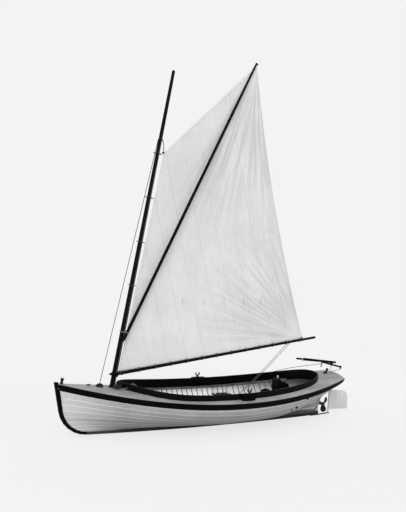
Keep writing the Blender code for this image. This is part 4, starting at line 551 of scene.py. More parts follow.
dark_rib_finish = weathered("dark_rib_finish", (112, 158), 0.6, (1, 1, 4))
for side_name, side in SIDES:
    ribs = []
    for number in range(RIBS):
        x = RIB_FIRST + (RIB_LAST - RIB_FIRST) * number / (RIBS - 1)
        shares = [k / RIB_STEPS for k in range(RIB_STEPS + 1)]
        heights = [h for h in girth_heights(x, shares) if hull_point(x, h).y > RIB_FOOT]
        frames = []
        for h in heights:
            inward = inward_at(x, h)
            point = hull_point(x, h) + inward * (PLANK - RIB_BEDDING)
            frames.append((mirrored(point, side), Vector((1, 0, 0)), mirrored(inward, side)))
        ribs.append(batten(frames, RIB_WIDTH, RIB_DEPTH, RIB_EASE))
    fitted(ribs, "ribs_" + side_name, dark_rib_finish, ("frames_" + side_name,))

# Transom
# One wide varnished board across the stern, dark, with a faint grain along it.


def varnished(name, tones, grain, gloss=0.35, depth=0.0004):
    """Dark wood under old varnish: grain along the piece, dull and bright patches, and a thin clear coat."""
    coat = Finish(name, {"Specular IOR Level": 0.05, "Coat Roughness": 0.3, "Coat Weight": 0.02})
    line = coat.cloud(0.006, 4.0, tuple(1 + 30 * share for share in grain))
    patch = coat.cloud(0.10, 3.0, tuple(1 + 3 * share for share in grain))
    mottle = line * 0.55 + patch * 0.45
    coat.vary("Base Color", coat.shade(mottle.eased(0.36, 0.66), tones))
    coat.vary("Roughness", patch.eased(0.3, 0.7, gloss, gloss + 0.25))
    coat.relief(line * 0.7 + patch * 0.3, depth)
    return coat


transom_varnish = varnished("transom_varnish", (4, 18), (0, 1, 0))
eased("transom", "transom_board", transom_varnish, 0.003)

# Decks
# Canvas laid in paint over thin deck planks: a grey, slightly chalky skin with the weave just showing,
# darker where feet and water have worn it.
deck_paint = Finish("painted_deck_canvas", {"Specular IOR Level": 0.3})
worn = deck_paint.cloud(0.16, 5.0, (2.0, 1, 1))
spots = deck_paint.cloud(0.02, 3.0)
DECK_STRIPS = 15.5
strips = (deck_paint.part(deck_paint.place, "Y") * DECK_STRIPS).maths("PINGPONG", 0.5)
weave = deck_paint.weave("XY", 130.0)
mottle = worn * 0.7 + spots * 0.3
deck_colour = deck_paint.shade(mottle.eased(0.34, 0.66), (140, 168))
deck_paint.vary("Base Color", deck_colour.toned((strips.eased(0.0, 0.05, 0.25, 0.0), 104)))
deck_paint.vary("Roughness", mottle.eased(0.3, 0.7, 0.5, 0.75))
deck_paint.relief(weave * 0.12 + worn * 0.5 - strips.eased(0.0, 0.04, 0.35, 0.0), 0.0011)
dress(deck_paint, "foredeck", "side_deck_port", "side_deck_starboard", "aft_deck")

# Rub rails
# A black half-round oak moulding along each side over the deck's edge, with rubbed patches along it.
rail_paint = weathered("black_rail_paint", (1, 8), 0.6, (6, 1, 1), specular=0.04)
for side_name, side in SIDES:
    eased("rub_rail_" + side_name, "rail_" + side_name, rail_paint, 0.005, 3, 25)

# Coaming
# Steam-bent oak round the cockpit, meeting in a point forward, nearly black with old varnish, its top edge rounded.
coaming_varnish = varnished("coaming_varnish", (1, 9), (1, 0.3, 0))
for side_name, side in SIDES:
    eased("coaming_" + side_name, "coaming_board_" + side_name, coaming_varnish, 0.006, 3)

# Keelson, floorboards and thwart
# Plain boards: worn grey floorboards on bearers, and one broad thwart with four small knees.
KNEE_RISE, KNEE_START = 0.112, 0.004
board_wear = weathered("worn_board_paint", (104, 160), 0.7, (7, 1, 1), 0.08, 0.008)
thwart_wear = weathered("worn_thwart_varnish", (26, 58), 0.6, (1, 7, 1), 0.08, 0.008)
eased("keelson", "keelson_timber", board_wear, 0.004)
eased("floorboards", "floor_boards", board_wear, 0.003)
knee_paint = weathered("light_knee_paint", (226, 245), 0.6, (1, 1, 3))
thwart_board = eased("thwart", "thwart_board", (thwart_wear, knee_paint), 0.003)
thwart_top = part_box("thwart")[1][2] - KNEE_RISE
for face in thwart_board.data.polygons:
    face.material_index = int(face.center.z > thwart_top + KNEE_START)

# Clamps
# A grey fir clamp runs along the rib heads just under each side deck, fastened through every rib.
CLAMP_SHARE, CLAMP_STEPS, CLAMP_FORE, CLAMP_AFT = 0.90, 48, 1.32, -2.0
CLAMP_DEEP, CLAMP_THICK, CLAMP_EASE, CLAMP_BEDDING = 0.045, 0.016, 0.003, 0.001
clamp_paint = weathered("clamp_paint", (112, 150), 0.6, (8, 1, 1))


def inside_point(x, h, side, off):
    """A point inside the planking at a station, a distance in from its inner face."""
    return mirrored(hull_point(x, h) + inward_at(x, h) * (PLANK + off), side)


for side_name, side in SIDES:
    frames = []
    for step in range(CLAMP_STEPS + 1):
        x = CLAMP_FORE + (CLAMP_AFT - CLAMP_FORE) * step / CLAMP_STEPS
        inward = inward_at(x, CLAMP_SHARE)
        frames.append((inside_point(x, CLAMP_SHARE, side, RIB_DEPTH - CLAMP_BEDDING), UP,
                       Vector((inward.x, inward.y * side, 0)).normalized()))
    clamp = batten(frames, CLAMP_DEEP, CLAMP_THICK, CLAMP_EASE)
    fitted(clamp, "clamp_" + side_name, clamp_paint)

# Carlins
# Grey-painted carlins stand inside the coaming's foot along both sides of the cockpit, under the deck's inner edge.
CARLIN_LINE = ((1.241, 0.293), (1.093, 0.405), (0.922, 0.492), (0.728, 0.55), (0.513, 0.579), (0.28, 0.589),
               (0.028, 0.59), (-0.216, 0.589), (-0.447, 0.583), (-0.665, 0.573), (-0.87, 0.557), (-1.061, 0.536),
               (-1.237, 0.509), (-1.399, 0.477), (-1.545, 0.44), (-1.675, 0.396), (-1.788, 0.346))
CARLIN_DEEP, CARLIN_THICK, CARLIN_EASE = 0.038, 0.008, 0.002
CARLIN_FOOT, CARLIN_OFF, DECK_CROWN = 0.062, 0.0185, 0.118
carlin_paint = weathered("carlin_paint", (70, 112), 0.6, (8, 1, 1), 0.05)
for side_name, side in SIDES:
    frames = []
    for k, (x, y) in enumerate(CARLIN_LINE):
        fore, aft = CARLIN_LINE[max(k - 1, 0)], CARLIN_LINE[min(k + 1, len(CARLIN_LINE) - 1)]
        inward = Vector((fore[1] - aft[1], aft[0] - fore[0], 0)).normalized()
        breadth = half_breadth(x)
        height = sheer(x) - DRAUGHT + DECK_CROWN * breadth * (1 - (y / breadth) ** 2) - CARLIN_FOOT
        inner = Vector((x, y, height)) + inward * CARLIN_OFF
        frames.append((mirrored(inner, side), UP, mirrored(inward, side)))
    carlin = batten(frames, CARLIN_DEEP, CARLIN_THICK, CARLIN_EASE)
    fitted(carlin, "carlin_" + side_name, carlin_paint)

# Engine
# A small single-cylinder engine in black iron on two fir bearers: bronze priming cup, a plug with its wire,
# two flanged pipe joints on the port side, and a plain heavy flywheel ahead of it on the shaft.
CRANK = Vector((-1.295, 0, 0.1154))
SHAFT_WAY = Vector((1, 0, 0.12)).normalized()
ENGINE_UP = Vector((-SHAFT_WAY.z, 0, SHAFT_WAY.x))
HEAD = 0.345


def on_engine(forward, port, up):
    """A place in the engine's own sloping frame, from the crank's centre."""
    return CRANK + SHAFT_WAY * forward + Vector((0, port, 0)) + ENGINE_UP * up


def spun(mesh, outline, foot, axis, steps):
    """An outline spun once round, then set on its foot and turned to its axis."""
    bmesh.ops.spin(mesh, geom=outline, cent=(0, 0, 0), axis=(0, 0, 1), angle=tau, steps=steps, use_merge=True)
    bmesh.ops.remove_doubles(mesh, verts=mesh.verts, dist=1e-6)
    bmesh.ops.recalc_face_normals(mesh, faces=mesh.faces)
    turn = UP.rotation_difference(Vector(axis)).to_matrix().to_4x4()
    bmesh.ops.transform(mesh, matrix=Matrix.Translation(foot) @ turn, verts=mesh.verts)
    return mesh


def turned(profile, foot, axis=(0, 0, 1), steps=20):
    """A round piece spun from rows of radius and height about an axis."""
    mesh = bmesh.new()
    spots = [mesh.verts.new((radius, 0, height)) for radius, height in profile]
    lines = [mesh.edges.new(pair) for pair in zip(spots, spots[1:])]
    return spun(mesh, spots + lines, foot, axis, steps)


def hoop(centre, axis, radius, wire, steps=28, sides=8):
    """A round ring of wire."""
    mesh = bmesh.new()
    made = bmesh.ops.create_circle(mesh, segments=sides, radius=wire,
                                   matrix=Matrix.Translation((radius, 0, 0)) @ Matrix.Rotation(pi / 2, 4, "X"))
    return spun(mesh, made["verts"] + mesh.edges[:], centre, axis, steps)


def smooth(points, steps=8):
    """Closely spaced points on a smooth curve through a few."""
    spots = [Vector(p) for p in points]
    spots = [spots[0] * 2 - spots[1]] + spots + [spots[-1] * 2 - spots[-2]]
    run = []
    for a, b, c, d in zip(spots, spots[1:], spots[2:], spots[3:]):
        for k in range(steps):
            t = k / steps
            run.append(0.5 * (2 * b + (c - a) * t + (2 * a - 5 * b + 4 * c - d) * t ** 2
                              + (3 * b - a - 3 * c + d) * t ** 3))
    return run + [spots[-2]]


def rod(points, radius, sides=8):
    """A round bar or rope along points, with v along it in metres."""
    spots = [Vector(p) for p in points]
    side, frames, length = None, [], 0.0
    for k, spot in enumerate(spots):
        along = (spots[min(k + 1, len(spots) - 1)] - spots[max(k - 1, 0)]).normalized()
        if side is None:
            side = along.orthogonal()
        side = (side - along * side.dot(along)).normalized()
        frames.append((spot, side.copy(), along.cross(side)))
        length += (spot - spots[k - 1]).length if k else 0.0

    def spot_at(u, v):
        spot, across, out = frames[round(v * (len(frames) - 1))]
        turn = tau * (round(u * sides) % sides) / sides
        return spot + across * (radius * cos(turn)) + out * (radius * sin(turn))

    mesh = wrapped(sides, len(frames) - 1, spot_at)
    uv = mesh.loops.layers.uv["UVMap"]
    for face in mesh.faces:
        for loop in face.loops:
            loop[uv].uv.y *= length
    return mesh


def cast(name, tones, rough, metallic=0.0, specular=0.25):
    """Cast or wrought metal: a fine pitted skin, dull in patches."""
    metal = Finish(name, {"Specular IOR Level": specular, "Metallic": metallic})
    pits = metal.cloud(0.004, 3.0)
    patch = metal.cloud(0.035, 4.0)
    mottle = pits * 0.35 + patch * 0.65
    metal.vary("Base Color", metal.shade(mottle.eased(0.35, 0.65), tones))
    metal.vary("Roughness", patch.eased(0.3, 0.7, rough - 0.1, rough + 0.15))
    metal.relief(pits * 0.6 + patch * 0.4, 0.0006)
    return metal


black_iron = cast("black_engine_iron", (1, 9), 0.6, specular=0.06)
bright_metal = cast("worn_bright_metal", (205, 245), 0.35, 0.2)
dull_bronze = cast("dull_bronze", (16, 60), 0.45, 0.4)
galvanized = cast("galvanized_iron", (62, 112), 0.5, 0.2)
rowlock_iron = cast("rowlock_iron", (1, 14), 0.5)
porcelain = cast("plug_porcelain", (205, 228), 0.3)
eased("engine_bed", "engine_bearers", board_wear, 0.004)
eased("engine_block", "engine_castings", black_iron, 0.004, 2, 30)
HEAD_BOLTS, BOLT_CIRCLE = 6, 0.042
fittings = [turned(((0, 0), (0.054, 0), (0.054, 0.006), (0.05, 0.010), (0, 0.012)), on_engine(0, 0, HEAD),
                   ENGINE_UP, 28)]
for number in range(HEAD_BOLTS):
    turn = tau * (number + 0.5) / HEAD_BOLTS
    spot = on_engine(BOLT_CIRCLE * cos(turn), BOLT_CIRCLE * sin(turn), HEAD + 0.010)
    fittings.append(turned(((0, 0), (0.006, 0), (0.006, 0.007), (0, 0.009)), spot, ENGINE_UP, 6))
for forward, up in ((-0.005, 0.262), (-0.055, 0.262)):
    fittings.append(turned(((0, 0), (0.026, 0), (0.028, 0.004), (0.028, 0.010), (0.012, 0.012), (0.012, 0.026),
                            (0.017, 0.028), (0.017, 0.034), (0, 0.036)), on_engine(forward, 0.068, up),
                           (0, 1, 0), 24))
fittings += [turned(((0, 0), (0.05, 0), (0.058, 0.008), (0.058, 0.084), (0.05, 0.092), (0, 0.094)),
                    (-1.475, -0.03, 0.325), (0, 1, 0), 32),
             turned(((0, 0), (0.070, 0), (0.078, 0.01), (0.078, 0.13), (0.066, 0.15), (0, 0.152)),
                    on_engine(0, 0, HEAD - 0.165), ENGINE_UP, 28)]
fittings += [rod(smooth(((-1.475, 0.03, 0.35), (-1.455, 0.03, 0.395), (-1.42, 0.03, 0.39),
                         on_engine(-0.07, 0.03, 0.27))), 0.012),
             rod(smooth((on_engine(0.04, 0.05, 0.02), on_engine(0.05, 0.095, 0.08), on_engine(0.05, 0.095, 0.19),
                         on_engine(0.03, 0.075, 0.24))), 0.008)]
fitted(fittings, "engine_fittings", black_iron)
cup = turned(((0, 0), (0.008, 0), (0.008, 0.012), (0.005, 0.015), (0.005, 0.030), (0.008, 0.036), (0.009, 0.058),
              (0.007, 0.060), (0.005, 0.048), (0, 0.046)), on_engine(0.022, 0.02, HEAD - 0.012), ENGINE_UP)
oiler = turned(((0, 0), (0.005, 0), (0.005, 0.012), (0.014, 0.016), (0.014, 0.036), (0.006, 0.042), (0, 0.042)),
               on_engine(0.05, 0.03, 0.10), (0.1, 0.5, 0.8))
fitted([cup, oiler], "priming_cup_and_oiler", bright_metal)
plug = turned(((0, 0), (0.008, 0), (0.008, 0.006), (0.005, 0.008), (0.006, 0.018), (0.003, 0.020), (0, 0.022)),
              on_engine(-0.022, -0.02, HEAD + 0.008), ENGINE_UP)
fitted(plug, "spark_plug", porcelain)
wire = rod(smooth((on_engine(-0.022, -0.02, HEAD + 0.028), (-1.41, -0.05, 0.455), (-1.46, -0.10, 0.38),
                   (-1.50, -0.15, 0.24), (-1.52, -0.17, 0.10))), 0.0035)
fitted(wire, "plug_wire", black_iron)
eased("flywheel", "flywheel_rim", black_iron, 0.004, 3, 30, body="propeller_gear")

# Stern gear
# Bronze stern tube and shaft, a three-bladed wheel gone dark in the water, a flat iron heel bar,
# and a plate rudder painted light on its stock, with a cross yoke and a long black tiller.
eased("stern_tube", "stern_tube_bronze", dull_bronze, 0.002)
eased("propeller_shaft", "shaft_bronze", dull_bronze, 0.0015, body="propeller_gear")
eased("propeller", "propeller_blades", dull_bronze, 0.0012, 2, 30, body="propeller_gear")
heel_iron = cast("heel_bar_iron", (70, 120), 0.6)
eased("heel_bar", "heel_bar_iron", heel_iron, 0.002)
eased("rudder_tube", "rudder_tube_iron", galvanized, 0.0015)
rudder_paint = weathered("light_rudder_paint", (206, 226), 0.6, (1, 1, 3), 0.10, 0.012)
eased("rudder", "rudder_plate", rudder_paint, 0.003, body="rudder_gear")
tiller_black = varnished("black_tiller_varnish", (1, 8), (1, 0, 0))
eased("tiller", "tiller_bar", tiller_black, 0.003, grow=0.003, body="rudder_gear")
eased("steering_yoke", "yoke_bar", black_iron, 0.004, grow=0.004, body="rudder_gear")
TILLER_AFT, TILLER_TIP = Vector((-2.534, 0, 0.672)), Vector((-1.689, 0, 0.764))
tiller_way = (TILLER_TIP - TILLER_AFT).normalized()
ferrule = turned(((0.0165, 0), (0.0205, 0.001), (0.0205, 0.017), (0.0165, 0.018)),
                 TILLER_AFT.lerp(TILLER_TIP, 0.845), tiller_way)
fitted(ferrule, "tiller_ferrule", bright_metal, body="rudder_gear")
eyes = []
for side in (1, -1):
    end = Vector((-2.441, side * 0.228, 0.6325))
    eyes.append(turned(((0, -0.012), (0.009, -0.010), (0.009, 0.0), (0.012, 0.002), (0.012, 0.018), (0.009, 0.022),
                        (0.009, 0.030), (0, 0.033)), end))
    eyes.append(hoop(end + Vector((0.004, side * 0.004, -0.018)), (1, 0, 0), 0.011, 0.004))
hook = smooth(((-2.437, -0.232, 0.61), (-2.428, -0.232, 0.595), (-2.42, -0.232, 0.575), (-2.43, -0.232, 0.562),
               (-2.445, -0.232, 0.570)))
eyes.append(rod(hook, 0.0065))
fitted(eyes, "yoke_eyes", black_iron, body="rudder_gear")


def rope_finish(name, tones, lay):
    """Three-strand rope: the lay runs round it as it goes along, in metres on v."""
    rope = Finish(name, {"Roughness": 0.85, "Specular IOR Level": 0.1})
    place = rope.surface_place()
    twist = rope.part(place, "X") * 3.0 + rope.part(place, "Y") / lay
    strand = twist.maths("PINGPONG", 0.5) * 2.0
    fuzz = rope.cloud(0.003, 3.0)
    rope.vary("Base Color", rope.shade(strand * 0.6 + fuzz * 0.4, tones))
    rope.relief(strand + fuzz * 0.3, 0.0012)
    return rope


grey_rope = rope_finish("weathered_rope", (56, 112), 0.012)
pale_rope = rope_finish("pale_line", (120, 176), 0.010)
dark_rope = rope_finish("tarred_line", (24, 70), 0.012)
STEERING_LINES = (
    ("steering_line_starboard", ((-2.437, -0.232, 0.612), (-2.15, -0.275, 0.582), (-1.85, -0.36, 0.535),
                                 (-1.60, -0.475, 0.462), (-1.50, -0.522, 0.430))),
    ("steering_line_port", ((-2.437, 0.232, 0.612), (-2.435, 0.16, 0.577), (-2.43, 0.07, 0.545),
                            (-2.425, 0.022, 0.515))))
for name, points in STEERING_LINES:
    line = fitted(rod(smooth(points), 0.004), name, dark_rope, body=None)
    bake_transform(line)
eye = hoop((-1.495, -0.524, 0.428), (0.3, 1, 0), 0.010, 0.003)
fitted(eye, "steering_line_eye", galvanized)

# Mast
# A raked, round spruce mast, dark with old varnish, on an oak step, with a collar where it passes the deck.


def spar_varnish(name, tones, along, highlight_way, highlight_tone=105):
    """Spar varnish: long grain, dull streaks, and a painted highlight down the side that faces the light."""
    coat = varnished(name, tones, along, 0.4, 0.0005)
    facing = coat.node("ShaderNodeTexCoord", output=1)
    turned_to = coat.node("ShaderNodeVectorMath", {"operation": "DOT_PRODUCT"},
                          {0: facing, 1: tuple(Vector(highlight_way).normalized())}, 1)
    patch = coat.cloud(0.05, 3.0, tuple(1 + 6 * share for share in along))
    old = Flow(coat, coat.shader.inputs["Base Color"].links[0].from_socket)
    # Painted highlight: a lighter streak where the surface turns toward the light's way.
    line = turned_to.eased(0.965, 1.0) * patch.eased(0.38, 0.6, 0.1, 0.9)
    coat.vary("Base Color", coat.mix(line, old, grey(highlight_tone)))
    return coat


mast_varnish = spar_varnish("mast_varnish", (1, 14), (0, 0, 1), (-0.15, 1, 0), 90)
dress(mast_varnish, "mast")
eased("mast_step", "mast_step_block", board_wear, 0.004)
eased("mast_collar", "mast_collar_ring", coaming_varnish, 0.003)

# Boom and sprit
# Two light round spars in the same old varnish as the mast.
boom_varnish = spar_varnish("boom_varnish", (1, 10), (1, 0, 0), (0.3, 0.8, 0.5), 90)
sprit_varnish = spar_varnish("sprit_varnish", (1, 12), (0.5, 0, 1), (0.7, 0.7, 0.1), 70)
dress(boom_varnish, "boom")
dress(sprit_varnish, "sprit")

# Sail
# A spritsail of light cotton: cloths sewn in panels parallel to the leech, a tabling round the edges,
# soft creases that fan from the clew and the peak, with painted shade along their finer folds, and a hollow leech.
TACK, THROAT = Vector((1.492, 0, 0.678)), Vector((1.000, 0, 3.787))
CLEW, PEAK = Vector((-1.782, 0, 1.08775)), Vector((-0.503, 0, 5.278))
HOLLOW, BELLY, FOOT_ROUND = 0.11, 0.05, 0.012
SAIL_COLUMNS, SAIL_ROWS = 84, 108


def sail_place(u, v):
    """A point of the cloth: u from luff to leech, v from foot to head."""
    spot = TACK.lerp(CLEW, u).lerp(THROAT.lerp(PEAK, u), v)
    spot.x += HOLLOW * 4 * v * (1 - v) * u ** 3
    spot.z -= FOOT_ROUND * 4 * u * (1 - u) * (1 - v) ** 4
    spot.y = -BELLY * 16 * u * (1 - u) * v * (1 - v)
    return spot


def crease(spot, corner, angle, width, reach, height):
    """Rise of a soft fold that runs from a corner and fades along its way."""
    direction = Vector((cos(angle), 0, sin(angle)))
    along = (spot - corner).dot(direction)
    if along <= 0:
        return 0.0
    off = (spot - corner - direction * along).length
    spread = width * (0.25 + along / reach)
    return height * exp(-(off / spread) ** 2) * exp(-((along / reach) ** 2)) * min(along / 0.1, 1.0)


# Each fold's corner, angle, width, reach and height.
CREASES = ((CLEW, 0.20, 0.05, 1.3, 0.006), (CLEW, 0.42, 0.06, 1.6, -0.008), (CLEW, 0.66, 0.06, 1.5, 0.007),
           (CLEW, 0.95, 0.05, 1.1, -0.005), (PEAK, -1.05, 0.06, 1.6, 0.007), (PEAK, -1.30, 0.06, 1.9, -0.008),
           (PEAK, -1.52, 0.05, 1.5, 0.006), (PEAK, -0.80, 0.05, 1.0, -0.005), (THROAT, -2.2, 0.05, 1.0, 0.005),
           (THROAT, -2.7, 0.05, 1.1, -0.004))


def cloth_spot(u, v):
    spot = sail_place(u, v)
    flat = Vector((spot.x, 0, spot.z))
    fold = sum(crease(flat, *row) for row in CREASES)
    spot.y += fold * min(min(u, 1 - u) / 0.06, min(v, 1 - v) / 0.05, 1.0)
    return spot


cotton = Finish("sail_cotton", {"Roughness": 0.85, "Specular IOR Level": 0.15, "Sheen Weight": 0.15})
cloth_place = cotton.surface_place()
across, up = cotton.part(cloth_place, "X"), cotton.part(cloth_place, "Y")
x, z = cotton.part(cotton.place, "X"), cotton.part(cotton.place, "Z")
panels = (x * 0.956 - z * 0.292 + 20.03) / 0.31
panel_edge = panels.maths("PINGPONG", 0.5)
seam = panel_edge.eased(0.008, 0.034, 1.0, 0.0)
hem_u = across.maths("MINIMUM", 1 - across) * 3.0
hem_v = up.maths("MINIMUM", 1 - up) * 4.0
hem = hem_u.maths("MINIMUM", hem_v)
hem_line = (hem - 0.05).maths("ABSOLUTE").eased(0.002, 0.008, 1.0, 0.0)
broad = cotton.cloud(0.5, 4.0)
stain = cotton.cloud(0.06, 5.0, (1, 1, 1.6))
weave = cotton.weave("XZ", 160.0)


def fan(corner, low, high, count, reach):
    """Fine pulled folds that run out of a corner between two angles and fade with distance, for relief and painted
    shade.
    """
    dx, dz = x - corner.x, z - corner.z
    away = (dx * dx + dz * dz).maths("SQRT")
    angle = dz.maths("ARCTAN2", dx)
    spread = cotton.node("ShaderNodeCombineXYZ", None, {0: angle * count, 1: away * 1.1, 2: corner.z})
    folds = cotton.node("ShaderNodeTexNoise", None, {"Vector": spread, "Scale": 1.0, "Detail": 3.0})
    inside = angle.eased(low - 0.1, low + 0.1) * angle.eased(high - 0.1, high + 0.1, 1.0, 0.0)
    return folds.eased(0.36, 0.64) * inside * away.eased(reach * 0.35, reach, 1.0, 0.0) * away.eased(0.12, 0.6)


folds_and_painted_shade = fan(CLEW, 0.02, 1.30, 30.0, 2.4) + fan(PEAK, -1.85, -1.05, 34.0, 3.2)
folds_and_painted_shade = (folds_and_painted_shade + fan(THROAT, -2.9, -1.6, 16.0, 1.1) * 0.5).maths("MINIMUM", 1.0)
colour = cotton.shade((broad * 0.6 + stain * 0.4).eased(0.3, 0.7), (222, 234))
# The finer folds are darkened as painted shade; the seams, hem and stains are the cloth's own marks.
cotton.vary("Base Color", colour.toned((seam * 0.22, 176), (hem_line * 0.3, 178),
                                       (stain.eased(0.68, 0.76) * 0.15, 176), (folds_and_painted_shade * 0.5, 186)))
hem_edge = hem.eased(0.045, 0.055, 0.5, 0.0)
cotton.relief(weave * 0.1 + seam * 0.6 + hem_edge + stain * 0.3 + folds_and_painted_shade * 2.5, 0.0014)
sail_mesh = laid(SAIL_COLUMNS, SAIL_ROWS, cloth_spot, 1)
sail_cloth = fitted(sail_mesh, "sail_cloth", cotton, ("sail",), crease=80, body="rig")
thickness = sail_cloth.modifiers.new("cloth_thickness", "SOLIDIFY")
thickness.thickness = 0.002
thickness.offset = 0.0

# Hoops, parrel, snotter and fore line
# Rope grommets slide on the mast and carry the luff, and a beaded parrel keeps the boom's jaws to the mast.
for number in range(1, 5):
    dress(grey_rope, f"mast_hoop_{number}")
dress(pale_rope, "snotter")
dress(dark_rope, "fore_line")
eased("jaw_parrel", "boom_jaws", tiller_black, 0.002, body="rig")
PARREL_RADIUS, PARREL_Z = 0.066, 0.642
MAST_AT_DECK, DECK_Z, MAST_RAKE = 1.574, 0.486, radians(8.28)


def mast_x(z):
    """Where the middle of the mast stands fore and aft at a height."""
    return MAST_AT_DECK - (z - DECK_Z) * tan(MAST_RAKE)


beads = []
for number in range(7):
    turn = pi * (number - 3) / 7.5
    place = Vector((mast_x(PARREL_Z) + PARREL_RADIUS * cos(turn), PARREL_RADIUS * sin(turn), PARREL_Z))
    beads.append(turned(((0, -0.011), (0.007, -0.008), (0.010, 0), (0.007, 0.008), (0, 0.011)), place,
                        (sin(turn), -cos(turn), 0), 12))
fitted(beads, "parrel_beads", black_iron, body="rig")

# Halyard
# A cotton halyard reeves through the mast under its head, drops to the throat in a short loop,
# and its fall comes down the port side of the mast to the deck cleat.
loop = rod(smooth(((1.067, 0, 3.985), (1.032, 0.0, 3.968), (1.008, 0, 3.90), (1.003, 0, 3.83),
                   (1.001, 0, 3.790))), 0.006)
fitted(loop, "throat_halyard", grey_rope, body="rig")
fall = [(mast_x(z) - 0.012, out, z) for z, out in ((3.95, 0.0283), (3.2, 0.0309), (2.4, 0.0337), (1.6, 0.0365),
                                                   (1.24, 0.0371), (0.9, 0.0390), (0.62, 0.040))]
fall = rod(smooth(fall + [(1.566, 0.070, 0.55), (1.553, 0.098, 0.503)]), 0.0034)
fitted(fall, "halyard_fall", grey_rope)

# Lashings
# The foot is lashed to the boom through an eyelet every span, and each corner has its own seizing.
BOOM_X, BOOM_Z, BOOM_LENGTH, BOOM_RISE, BOOM_WAY = 1.5513, 0.642, 3.546, 0.12767, (1, 0, -0.127)
LASHINGS, LASHING_FORE, LASHING_SPAN, LASHING_GAP = 13, 1.44, 0.2625, 0.006
lashings = []
for number in range(LASHINGS):
    x = LASHING_FORE - number * LASHING_SPAN
    z = BOOM_Z + (BOOM_X - x) * BOOM_RISE
    size = 0.025 - 0.006 * (1.502 - x) / BOOM_LENGTH
    for shift in (-LASHING_GAP, LASHING_GAP):
        lashings.append(hoop((x + shift, 0, z + 0.006), BOOM_WAY, size + 0.0085, 0.0028, 20, 6))
fitted(lashings, "foot_lashings", grey_rope, body="rig")
corners = []
for corner, offset, axis, radius in ((CLEW, (0.02, 0, -0.01), (1, 0, 0), 0.032),
                                     (PEAK, (0, 0.008, -0.01), (0.4, 0, 1), 0.022),
                                     (THROAT, (0.006, 0, 0), (0, 0, 1), 0.016),
                                     (TACK, (-0.009, 0, -0.02), (1, 0, 0.3), 0.03)):
    for shift in (-0.007, 0.0, 0.007):
        spot = corner + Vector(offset) + Vector(axis).normalized() * shift
        corners.append(hoop(spot, axis, radius, 0.003, 20, 6))
fitted(corners, "corner_seizings", grey_rope, body="rig")
eyelets = []
for u, v in [(0.006, k / 12) for k in range(1, 12)] + [(k / 13 + 0.02, 0.008) for k in range(13)]:
    eyelets.append(hoop(sail_place(u, v) + Vector((0, 0.0015, 0)), (0, 1, 0), 0.007, 0.002, 14, 6))
fitted(eyelets, "sail_eyelets", bright_metal, body="rig")
reefs = []
SAIL_LEE = 0.006
for number, (reef_x, reef_z) in enumerate(((0.530, 1.674), (0.156, 1.676), (-0.204, 1.679), (-0.566, 1.682),
                                           (-0.890, 1.684))):
    points = [Vector((reef_x + 0.003 * sin(k * 2.1 + number), SAIL_LEE + 0.001 * k, reef_z + 0.045 - 0.02 * k))
              for k in range(6)]
    reefs.append(rod(points, 0.0018, 6))
fitted(reefs, "reef_points", grey_rope, body="rig")

# Mainsheet
# A two-part cotton sheet from strops near the boom's end down to just ahead of the thwart, drawn tight.
SHEET_STEPS, SHEET_SAG, SHEET_RADIUS, STROP_RISE, STROP_SIZE = 30, 0.03, 0.004, 0.022, 0.026
sheet_foot = Vector((-0.50, 0.0, thwart_top + 0.03))
parts = []
strops = []
for x, z, shift in ((-1.458, 0.998, 0.016), (-1.519, 1.006, -0.016)):
    top, foot = Vector((x, 0, z)), sheet_foot + Vector((shift, 0, 0))
    spots = [top.lerp(foot, k / SHEET_STEPS) - UP * (SHEET_SAG * sin(pi * k / SHEET_STEPS))
             for k in range(SHEET_STEPS + 1)]
    parts.append(rod(spots, SHEET_RADIUS))
    strops.append(hoop((x, 0, z + STROP_RISE), BOOM_WAY, STROP_SIZE, SHEET_RADIUS, 20))
mainsheet = fitted(parts + strops, "mainsheet", grey_rope, body=None)
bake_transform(mainsheet)

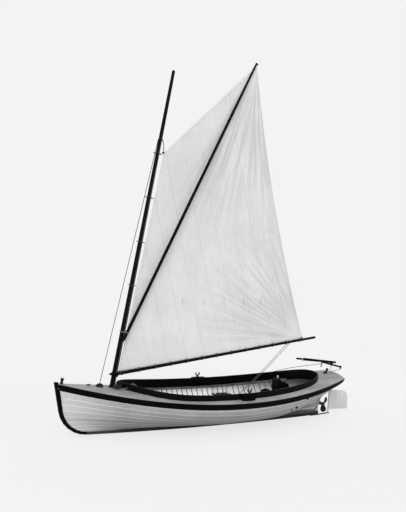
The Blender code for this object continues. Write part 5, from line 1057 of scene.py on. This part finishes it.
# Deck fittings
# Galvanized lamp sockets fore and aft, two rope cleats, a deck plate, open rowlocks on varnished pads,
# and the engine's outlets through the port planking.
socket_iron = cast("lamp_socket_iron", (1, 30), 0.5)
eased("bow_light_socket", "bow_socket", socket_iron, 0.0015, grow=0.003)
eased("stern_light_socket", "stern_socket", socket_iron, 0.0015, grow=0.006)
eased("fore_line_cleat", "fore_cleat", galvanized, 0.0025, 3)
eased("halyard_cleat", "side_cleat", galvanized, 0.0025, 3)
pad_varnish = varnished("pad_varnish", (0, 4), (1, 0, 0), 0.7)
for side_name, side in SIDES:
    eased("oarlock_pad_" + side_name, "rowlock_pad_" + side_name, pad_varnish, 0.004)
    eased("oarlock_" + side_name, "rowlock_" + side_name, rowlock_iron,
          0.0015, 2, 30, 0.005, body=side_name + "_oarlock")
eased("exhaust_outlet", "exhaust_flange", rowlock_iron, 0.0015)
band = []
for side in (1, -1):
    band.append(rod([(2.392, side * 0.002, 0.488), (2.394, side * 0.024, 0.487), (2.372, side * 0.029, 0.4865),
                     (2.345, side * 0.030, 0.486)], 0.006))
fitted(band, "stem_head_band", galvanized)
outlets = []
for x, share, radius in ((-1.46, 0.862, 0.016), (-1.21, 0.515, 0.010)):
    spot = hull_point(x, share)
    inward = inward_at(x, share)
    outlets.append(turned(((0, -0.006), (radius * 1.5, -0.004), (radius * 1.5, 0.004), (radius, 0.008),
                           (radius, 0.018), (radius * 0.7, 0.018), (radius * 0.6, 0.002), (0, 0.001)),
                          spot, -inward, 20))
fitted(outlets, "hull_outlets", rowlock_iron)
turns = []
for number in range(6):
    lift = 0.004 + 0.008 * number
    lean = Vector((0.12 * (number % 3) - 0.12, 0.10 * (number % 2), 1)).normalized()
    turns.append(hoop((1.553, 0.125, 0.476 + lift), lean, 0.056 - 0.004 * (number % 3), 0.0045, 24, 6))
fitted(turns, "halyard_coil", dark_rope)
end = rod(smooth(((1.52, 0.115, 0.486), (1.464, 0.150, 0.462), (1.39, 0.135, 0.478),
                  (1.318, 0.10, 0.511), (1.28, 0.10, 0.505), (1.245, 0.10, 0.477))), 0.004)
fitted(end, "halyard_end", pale_rope)
fore_turns = [hoop((1.775, 0.01, 0.490 + 0.007 * k), (0.06 * k - 0.06, 0.08, 1), 0.052 - 0.005 * k, 0.0045, 24, 6)
              for k in range(4)]
fitted(fore_turns, "fore_line_turns", dark_rope)
plate = turned(((0, 0), (0.030, 0), (0.032, 0.003), (0.028, 0.007), (0, 0.009)), (1.935, 0, 0.5125))
fitted(plate, "deck_plate", socket_iron)
